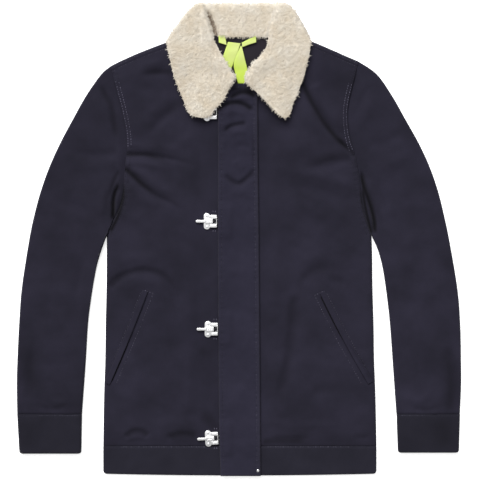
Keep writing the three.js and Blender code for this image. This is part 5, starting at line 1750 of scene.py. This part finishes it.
    def lean(self, place: Points) -> Points:
        """Direction that the wool lies in at points in millimetres: swirled, and a little combed."""
        swirl = 2.6 * ripple(place[:, :2] + 0.5 * place[:, 2:3], 13.0, 63)
        swirl += 1.6 * ripple(place[:, :2] - 0.5 * place[:, 2:3], 6.0, 64)
        behind = smooth((place[:, 1] - 352) / 30)
        comb = np.c_[0.45 * np.sign(place[:, 0]), 0.8 * behind - 0.45 * (1 - behind), np.zeros(len(place))]
        return 0.75 * np.c_[np.cos(swirl), np.sin(swirl), np.zeros(len(place))] + 0.55 * comb

    def grow(self, skin: Thing) -> None:
        """Cover the skin with locks, in three joined pieces."""
        mesh = skin.data
        mesh.calc_loop_triangles()
        count = len(mesh.loop_triangles)
        corner = np.empty(count * 3, dtype=np.int64)
        mesh.loop_triangles.foreach_get("vertices", corner)
        corner = corner.reshape(-1, 3)
        place, normal = places_and_normals(mesh)
        a, b, c = place[corner[:, 0]], place[corner[:, 1]], place[corner[:, 2]]
        area = np.linalg.norm(np.cross(b - a, c - a), axis=1) / 2
        rng = np.random.default_rng(7)
        facing = normal[corner].mean(1)
        middle = (a + b + c) / 3
        shown = np.where(facing[:, 2] > -0.35, 1.0, 0.3)
        hidden = (middle[:, 2] < 9.5) & (middle[:, 1] < 348)
        weight = area * shown * np.where(hidden, 0.12, 1.0)
        number = int(weight.sum() / self.area_per_lock)
        chosen = rng.choice(count, size=number, p=weight / weight.sum())
        mix = rng.dirichlet((1, 1, 1), size=number)
        root = (place[corner[chosen]] * mix[..., None]).sum(1)
        self.locks(root, unit((normal[corner[chosen]] * mix[..., None]).sum(1)), rng)

    def locks(self, root: Points, up: Points, rng: np.random.Generator) -> None:
        """Mesh of curved, tapering three-sided locks."""
        number = len(root)
        clump = self.clumps(root)
        jitter = rng.normal(0, 0.36, (number, 3))
        comb = self.lean(root) * rng.uniform(0.3, 1.0, (number, 1))
        first = unit(up + 0.3 * comb + 0.4 * jitter)
        second = unit(up * 0.9 + 0.45 * comb + 0.9 * jitter)
        at_edge = smooth((0.55 - np.abs(up[:, 2])) / 0.4)
        length = (self.lock_length * rng.uniform(0.6, 1.15, number) * (1 + 0.2 * clump)
                  * (1 + (0.25 + 0.3 * clump) * at_edge))
        side = unit(np.cross(first, rng.normal(0, 1, (number, 3))))
        other = np.cross(first, side)
        width = self.lock_width * rng.uniform(0.7, 1.25, number)
        # Painted shadow: locks in the sunk strip beside the roll are shortened and painted darker
        sunk = np.minimum(self.parting(root), 0)
        length *= 1 + 0.13 * sunk
        shade = 0.42 * sunk
        centres = [root - 0.6 * first, root + first * (0.38 * length)[:, None]]
        centres.append(centres[1] + (first + second) * (0.16 * length)[:, None])
        centres.append(centres[2] + second * (0.26 * length)[:, None])
        curls = ripple(root[:, :2] + 0.4 * root[:, 2:3], 3.6, 65)
        rings, tones, facing = [], [], []
        # Tone along each lock: warmer root and pale tip, with painted shade at the root and in hollows,
        # painted light on crests
        for centre, share, tone in zip(centres, (1.0, 1.0, 0.72, 0.0), (0.25, 0.55, 0.8, 1.0)):
            for k in range(3 if share else 1):
                turn = math.tau * k / 3
                outward = side * math.cos(turn) + other * math.sin(turn)
                rings.append(centre + outward * (share * width / 2)[:, None])
                facing.append(up + self.curl_relief * outward)
                tones.append(tone + 0.14 * clump + 0.12 * curls + rng.normal(0, 0.06, number) + shade)
        points = np.stack(rings, axis=1)
        points[..., 2] = np.maximum(points[..., 2], 0.15)
        tone = np.clip(np.stack(tones, axis=1), 0, 1)
        normal = unit(np.stack(facing, axis=1))
        pattern = [(s + k, s + (k + 1) % 3, s + 3 + (k + 1) % 3, s + 3 + k) for s in (0, 3) for k in range(3)]
        tips = [(6 + k, 6 + (k + 1) % 3, 9) for k in range(3)]
        groups = np.digitize(root[:, 0], self.leaf_bounds)
        for group, name in enumerate(("wool_right", "wool_neck", "wool_left")):
            pick = np.flatnonzero(groups == group)
            faces = [tuple(10 * n + v for v in face) for n in range(len(pick)) for face in (*pattern, *tips)]
            thing = link_mesh(name, points[pick].reshape(-1, 3), faces)
            store_value(thing, "tone", tone[pick])
            thing.data.normals_split_custom_set_from_vertices(normal[pick].reshape(-1, 3).tolist())
            finish_piece(thing, self.finishes.wool, "sheepskin")


@dataclass(frozen=True)
class TapeStretch:
    """One stretch of the hanger tape between two edges."""

    node: str
    layer: int
    left: Line
    right: Line


@dataclass
class HangerTape:
    """The stretches of tape inside the back neck."""

    finishes: Finishes
    thick: float = 1.0
    lift: float = 1.4
    stretches: tuple[TapeStretch, ...] = (
        TapeStretch("hanger_end_right", 1, ((-35.5, 350), (-35, 337.8)), ((-24.5, 350), (-21.5, 333.6))),
        TapeStretch("hanger_end_left", 1, ((28.5, 349.5), (18, 344.5), (4.2, 337.6)),
                    ((28.9, 338), (17, 334.5), (5, 329.8))),
        TapeStretch("hanger_leg_right", 0, ((-19.4, 339), (-27.8, 315), (-35.5, 296)),
                    ((2.2, 336.5), (-4.4, 316), (-15.6, 289))),
        TapeStretch("hanger_leg_left", 2, ((2.6, 332.6), (-9, 303.6), (-7.2, 286.5), (-2, 268.4)),
                    ((4.6, 330), (9.8, 308.5), (13.6, 292.5), (12.6, 280), (9, 268.4))),
    )

    def build(self) -> None:
        """Make each stretch."""
        for stretch in self.stretches:
            left, right = curve(stretch.left, 50), curve(stretch.right, 50)
            across = graded(12, 0.5, 1.4, 3)
            grid = ruled(left, right, across)
            sides = from_sides(grid)
            top = CLOTH + neck_rise(grid) + LAYER + 0.5 + stretch.layer * self.lift + self.thick
            top += 0.25 * ripple(grid, 22, 71 + stretch.layer) - 0.25 * bell(sides, 0.8)
            points = lifted(grid, top).reshape(-1, 3)
            cut = np.stack([place_across(grid), place_along(grid)], axis=-1).reshape(-1, 2)
            faces = facing_up(points, grid_faces(*grid.shape[:2]))
            thing = link_mesh("tape_" + stretch.node.removeprefix("hanger_"), points, faces, cut)
            across_share = across[None, :] * np.ones((len(grid), 1))
            tone = smooth((grid[..., 1] - 282) / 34) * (0.55 + 0.45 * smooth(across_share / 0.6))
            store_value(thing, "tone", 0.12 + 0.88 * tone)
            thicken(thing, self.thick - 0.3)
            finish_piece(thing, self.finishes.tape, "hanger_tape", stretch.node)


class Bench:
    """Short forms for modelling hard pieces by hand, with sizes in millimetres."""

    @staticmethod
    def clear() -> None:
        """Leave object mode with nothing selected."""
        if bpy.context.object is not None and bpy.context.object.mode != "OBJECT":
            bpy.ops.object.mode_set(mode="OBJECT")
        bpy.ops.object.select_all(action="DESELECT")

    @staticmethod
    def placed() -> Thing:
        """The object that was just made, with its place and size in its mesh."""
        bpy.ops.object.transform_apply(location=True, rotation=True, scale=True)
        return bpy.context.object

    @staticmethod
    def pick(thing: Thing, kind: str, wanted: Callable[[object], bool]) -> None:
        """Enter edit mode with only the wanted edges or faces selected."""
        bpy.context.view_layer.objects.active = thing
        bpy.ops.object.mode_set(mode="EDIT")
        bpy.ops.mesh.select_mode(type=kind)
        bpy.ops.mesh.select_all(action="DESELECT")
        cage = bmesh.from_edit_mesh(thing.data)
        for item in cage.edges if kind == "EDGE" else cage.faces:
            item.select_set(wanted(item))
        bmesh.update_edit_mesh(thing.data)

    @staticmethod
    def is_upright(edge: bmesh.types.BMEdge) -> bool:
        """Whether an edge runs up."""
        a, b = (v.co for v in edge.verts)
        return abs(a.z - b.z) > 10 * max(abs(a.x - b.x), abs(a.y - b.y))

    @classmethod
    def block(cls, size: Place, centre: Place,
              corner: float = 0.0, soft: float = 0.3) -> Thing:
        """Block with rounded upright edges and softened rims.

        Args:
            size: Its three lengths.
            centre: Its middle.
            corner: Radius of its upright edges, or 0.
            soft: Width of the bevel on all its edges.

        Returns:
            The new object.
        """
        cls.clear()
        bpy.ops.mesh.primitive_cube_add(size=1, location=tuple(c * MM for c in centre))
        bpy.context.object.scale = tuple(s * MM for s in size)
        thing = cls.placed()
        if corner:
            cls.pick(thing, "EDGE", cls.is_upright)
            bpy.ops.mesh.bevel(offset=corner * MM, segments=8)
            bpy.ops.object.mode_set(mode="OBJECT")
        return cls.soften(thing, soft)

    @classmethod
    def soften(cls, thing: Thing, width: float) -> Thing:
        """Bevel the sharp edges and shade the rest smooth."""
        bevel = thing.modifiers.new("soft edges", "BEVEL")
        bevel.width = width * MM
        bevel.segments = 3
        bevel.limit_method = "ANGLE"
        bevel.angle_limit = math.radians(35)
        apply_all(thing)
        thing.select_set(True)
        bpy.context.view_layer.objects.active = thing
        bpy.ops.object.shade_smooth_by_angle(angle=math.radians(40))
        return thing

    @classmethod
    def button(cls, radius: float, height: float, centre: Place) -> Thing:
        """Low dome on a rim, standing on its centre point."""
        cls.clear()
        x, y, z = centre
        bpy.ops.mesh.primitive_cylinder_add(vertices=32, radius=radius * MM, depth=height * MM,
                                            location=(x * MM, y * MM, (z + height / 2) * MM))
        thing = cls.placed()
        cls.pick(thing, "FACE", lambda face: face.normal.z > 0.9)
        for rise in (0.22, 0.1):
            bpy.ops.mesh.inset(thickness=0.3 * radius * MM)
            bpy.ops.transform.translate(value=(0, 0, rise * height * MM))
        bpy.ops.object.mode_set(mode="OBJECT")
        return cls.soften(thing, 0.22 * height)

    @classmethod
    def link(cls, width: float, length: float, wire: float, centre: Place) -> Thing:
        """Long wire link in a flat plane, from its centre's x to its far end."""
        cls.clear()
        x, y, z = centre
        ring = (width - wire) / 2
        middle = (x + width / 2) * MM
        bpy.ops.mesh.primitive_torus_add(major_radius=ring * MM, minor_radius=wire / 2 * MM,
                                         major_segments=40, minor_segments=12,
                                         location=(middle, y * MM, z * MM))
        thing = cls.placed()
        for vertex in thing.data.vertices:
            if vertex.co.x > middle + 1e-6:
                vertex.co.x += (length - width) * MM
        bpy.ops.object.shade_smooth()
        return thing

    @classmethod
    def join(cls, name: str, parts: list[Thing]) -> Thing:
        """Join parts into one named object."""
        cls.clear()
        for part in parts:
            part.select_set(True)
        bpy.context.view_layer.objects.active = parts[0]
        if len(parts) > 1:
            bpy.ops.object.join()
        parts[0].name = parts[0].data.name = name
        return parts[0]

    @staticmethod
    def copy(thing: Thing, name: str, move: Place, turn: float = 0.0) -> Thing:
        """Copy with its own mesh, turned and moved in the mesh itself."""
        mesh = thing.data.copy()
        mesh.transform(Matrix.Translation(Vector(move) * MM) @ Matrix.Rotation(turn, 4, "Z"))
        twin = bpy.data.objects.new(name, mesh)
        mesh.name = name
        bpy.context.scene.collection.objects.link(twin)
        return twin


@dataclass
class Clasps:
    """Four clasps: a riveted plate with two rails, a lever and a wire loop under the flap."""

    finishes: Finishes
    plate_width: float = 11.0
    plate_thick: float = 1.4
    rail_start: float = 4.6
    rail_end: float = 17.2
    rail_inner: float = 4.4
    rail_outer: float = 10.8
    rail_thick: float = 3.6

    def plate(self) -> Thing:
        """Oblong plate with rivets, rails, end lips and the pin across them."""
        x, y = (self.rail_start + self.rail_end) / 2, (self.rail_inner + self.rail_outer) / 2
        end, inner, top = self.rail_end, self.rail_inner, self.rail_thick
        thick = self.plate_thick
        parts = [Bench.block((self.plate_width, CLASP_HEIGHT, thick), (0, 0, thick / 2), 5.3, 0.45)]
        for side in (-1, 1):
            parts.append(Bench.button(2.1, 1.0, (0.2, side * 9.4, thick - 0.1)))
            for size, centre, corner, soft in (
                    ((end - self.rail_start, self.rail_outer - inner, top), (x, side * y, top / 2), 1.1, 0.6),
                    ((9.0, 0.9, 0.5), (x + 0.6, side * (y + 0.4), top + 0.1), 0, 0.2),
                    ((1.5, 2.2, 1.2), (end - 0.9, side * (inner + 1.2), top + 0.3), 0, 0.35)):
                parts.append(Bench.block(size, centre, corner, soft))
        parts.append(Bench.block((1.3, 2 * inner + 1.2, 1.3), (end - 0.8, 0, 2.7), 0, 0.5))
        return Bench.join("plate_model", parts)

    def lever(self) -> Thing:
        """Lever with a pointed tongue, a hub between the rails and two ribs."""
        tongue = Bench.block((17.4, 4.8, 1.8), (-9.4, 0, 0.9), 2.2, 0.4)
        for vertex in tongue.data.vertices:
            past = min(vertex.co.x + 15.9 * MM, 0.0)
            vertex.co.x += 0.5 * past
            vertex.co.y *= 1 - 0.12 * (vertex.co.x > -4 * MM)
        hub = Bench.block((13.2, 8.0, 3.2), (3.8, 0, 1.6), 0.9, 0.7)
        ribs = [Bench.block((9.5, 0.8, 0.5), (3.4, side * 1.7, 3.3), 0, 0.22) for side in (-1, 1)]
        grips = [Bench.block((0.7, 3.4, 0.45), (-16.0 + 1.9 * k, 0, 1.9), 0, 0.2) for k in range(3)]
        return Bench.join("lever_model", [tongue, hub, *ribs, *grips])

    def build(self) -> None:
        """Model each piece once and copy it to its four places."""
        models = {"plate": self.plate(), "lever": self.lever(),
                  "wire": Bench.link(7.8, 20.4, 1.5, (11.4, 0, 0.8))}
        for number, (x, y, turn) in enumerate(CLASPS, start=1):
            place = np.array([x, y + CLASP_HEIGHT / 2])
            base = float(2 * CLOTH + neck_rise(place) + layer_gap(place)) + SEAM
            lifts = {"plate": 0.0, "lever": self.plate_thick + SEAM, "wire": 0.0}
            for word, model in models.items():
                piece = Bench.copy(model, f"nickel_{word}_{number}", (x, y, base + lifts[word]), turn)
                # Painted shade: the wire gets the darkened nickel
                metal = self.finishes.shade_painted_nickel if word == "wire" else self.finishes.metal
                finish_piece(piece, metal, "clasp_metal", f"clasp_{word}_{number}")
        for model in models.values():
            bpy.data.objects.remove(model)


@dataclass
class HemSnap:
    """The domed snap at the bottom of the flap."""

    finishes: Finishes
    x: float = 32.0
    y: float = -394.4

    def build(self) -> None:
        """Set the snap on the flap."""
        place = np.array([self.x, self.y])
        base = float(flap_under(place)) + FLAP_CLOTH + 0.1
        parts = [Bench.button(radius, height, (self.x, self.y, base + lift))
                 for radius, height, lift in ((3.5, 1.0, 0.0), (2.4, 1.3, 0.7))]
        finish_piece(Bench.join("nickel_snap", parts), self.finishes.metal, "clasp_metal", "hem_snap")


@dataclass
class Studio:
    """Pale floor, soft light from the top and a camera straight above the jacket."""

    lens: float = 100.0
    film: float = 36.0
    view: float = 825.6
    aim: tuple[float, float] = (1.2, 0.3)
    floor_drop: float = 0.4
    floor_size: float = 40.0
    surround: float = 0.42
    sun_from: Place = (-0.3, 0.86, 0.78)
    sun_width: float = 42.0
    sun_power: float = 4.5
    lamp_height: float = 2.9
    lamp_size: float = 1.6
    lamp_power: float = 7.0

    def build(self) -> None:
        """Make the floor, the lights and the camera."""
        scene = bpy.context.scene
        scene.view_settings.view_transform = "Standard"
        self.floor()
        self.world(scene)
        sun = self.light("key", "SUN", self.sun_from, self.sun_power)
        sun.data.angle = math.radians(self.sun_width)
        lamp = self.light("above", "AREA", (0.0, 0.0, self.lamp_height), self.lamp_power)
        lamp.data.size, lamp.location.z = self.lamp_size, self.lamp_height
        data = bpy.data.cameras.new("above")
        data.lens, data.sensor_width, data.clip_start, data.clip_end = self.lens, self.film, 0.01, 20
        camera = bpy.data.objects.new("above", data)
        camera.location = (self.aim[0] * MM, self.aim[1] * MM, self.view * MM * self.lens / self.film)
        scene.collection.objects.link(camera)
        scene.camera = camera

    def floor(self) -> None:
        """Plain white floor just under the cloth."""
        bpy.ops.object.select_all(action="DESELECT")
        bpy.ops.mesh.primitive_plane_add(size=self.floor_size, location=(0, 0, -self.floor_drop * MM))
        floor = bpy.context.object
        floor.name = "floor"
        floor.data.materials.append(FloorFinish().make())

    def world(self, scene: bpy.types.Scene) -> None:
        """Even white surround."""
        scene.world = bpy.data.worlds.new("surround")
        scene.world.use_nodes = True
        tree = scene.world.node_tree
        Nodes(tree).fill(tree.nodes["Background"], Color=(1, 1, 1, 1), Strength=self.surround)

    @staticmethod
    def light(name: str, kind: str, place: Place, power: float) -> Thing:
        """Light that shines from a place towards the middle of the jacket."""
        data = bpy.data.lights.new(name, kind)
        data.energy = power
        lamp = bpy.data.objects.new(name, data)
        lamp.rotation_euler = (-Vector(place)).to_track_quat("-Z", "Y").to_euler()
        bpy.context.scene.collection.objects.link(lamp)
        return lamp


def main() -> None:
    """Build the jacket piece by piece."""
    logging.basicConfig(level=logging.INFO, format="%(message)s")
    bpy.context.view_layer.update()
    Studio().build()
    finishes = Finishes()
    tailor = Tailor(finishes)
    BodyPanels(tailor).build()
    HemBand(tailor).build()
    Sleeves(tailor).build()
    Pockets(tailor).build()
    Flap(tailor).build()
    Topstitching(tailor).build()
    Collar(finishes).build()
    HangerTape(finishes).build()
    Clasps(finishes).build()
    HemSnap(finishes).build()


if __name__ == "__main__":
    main()
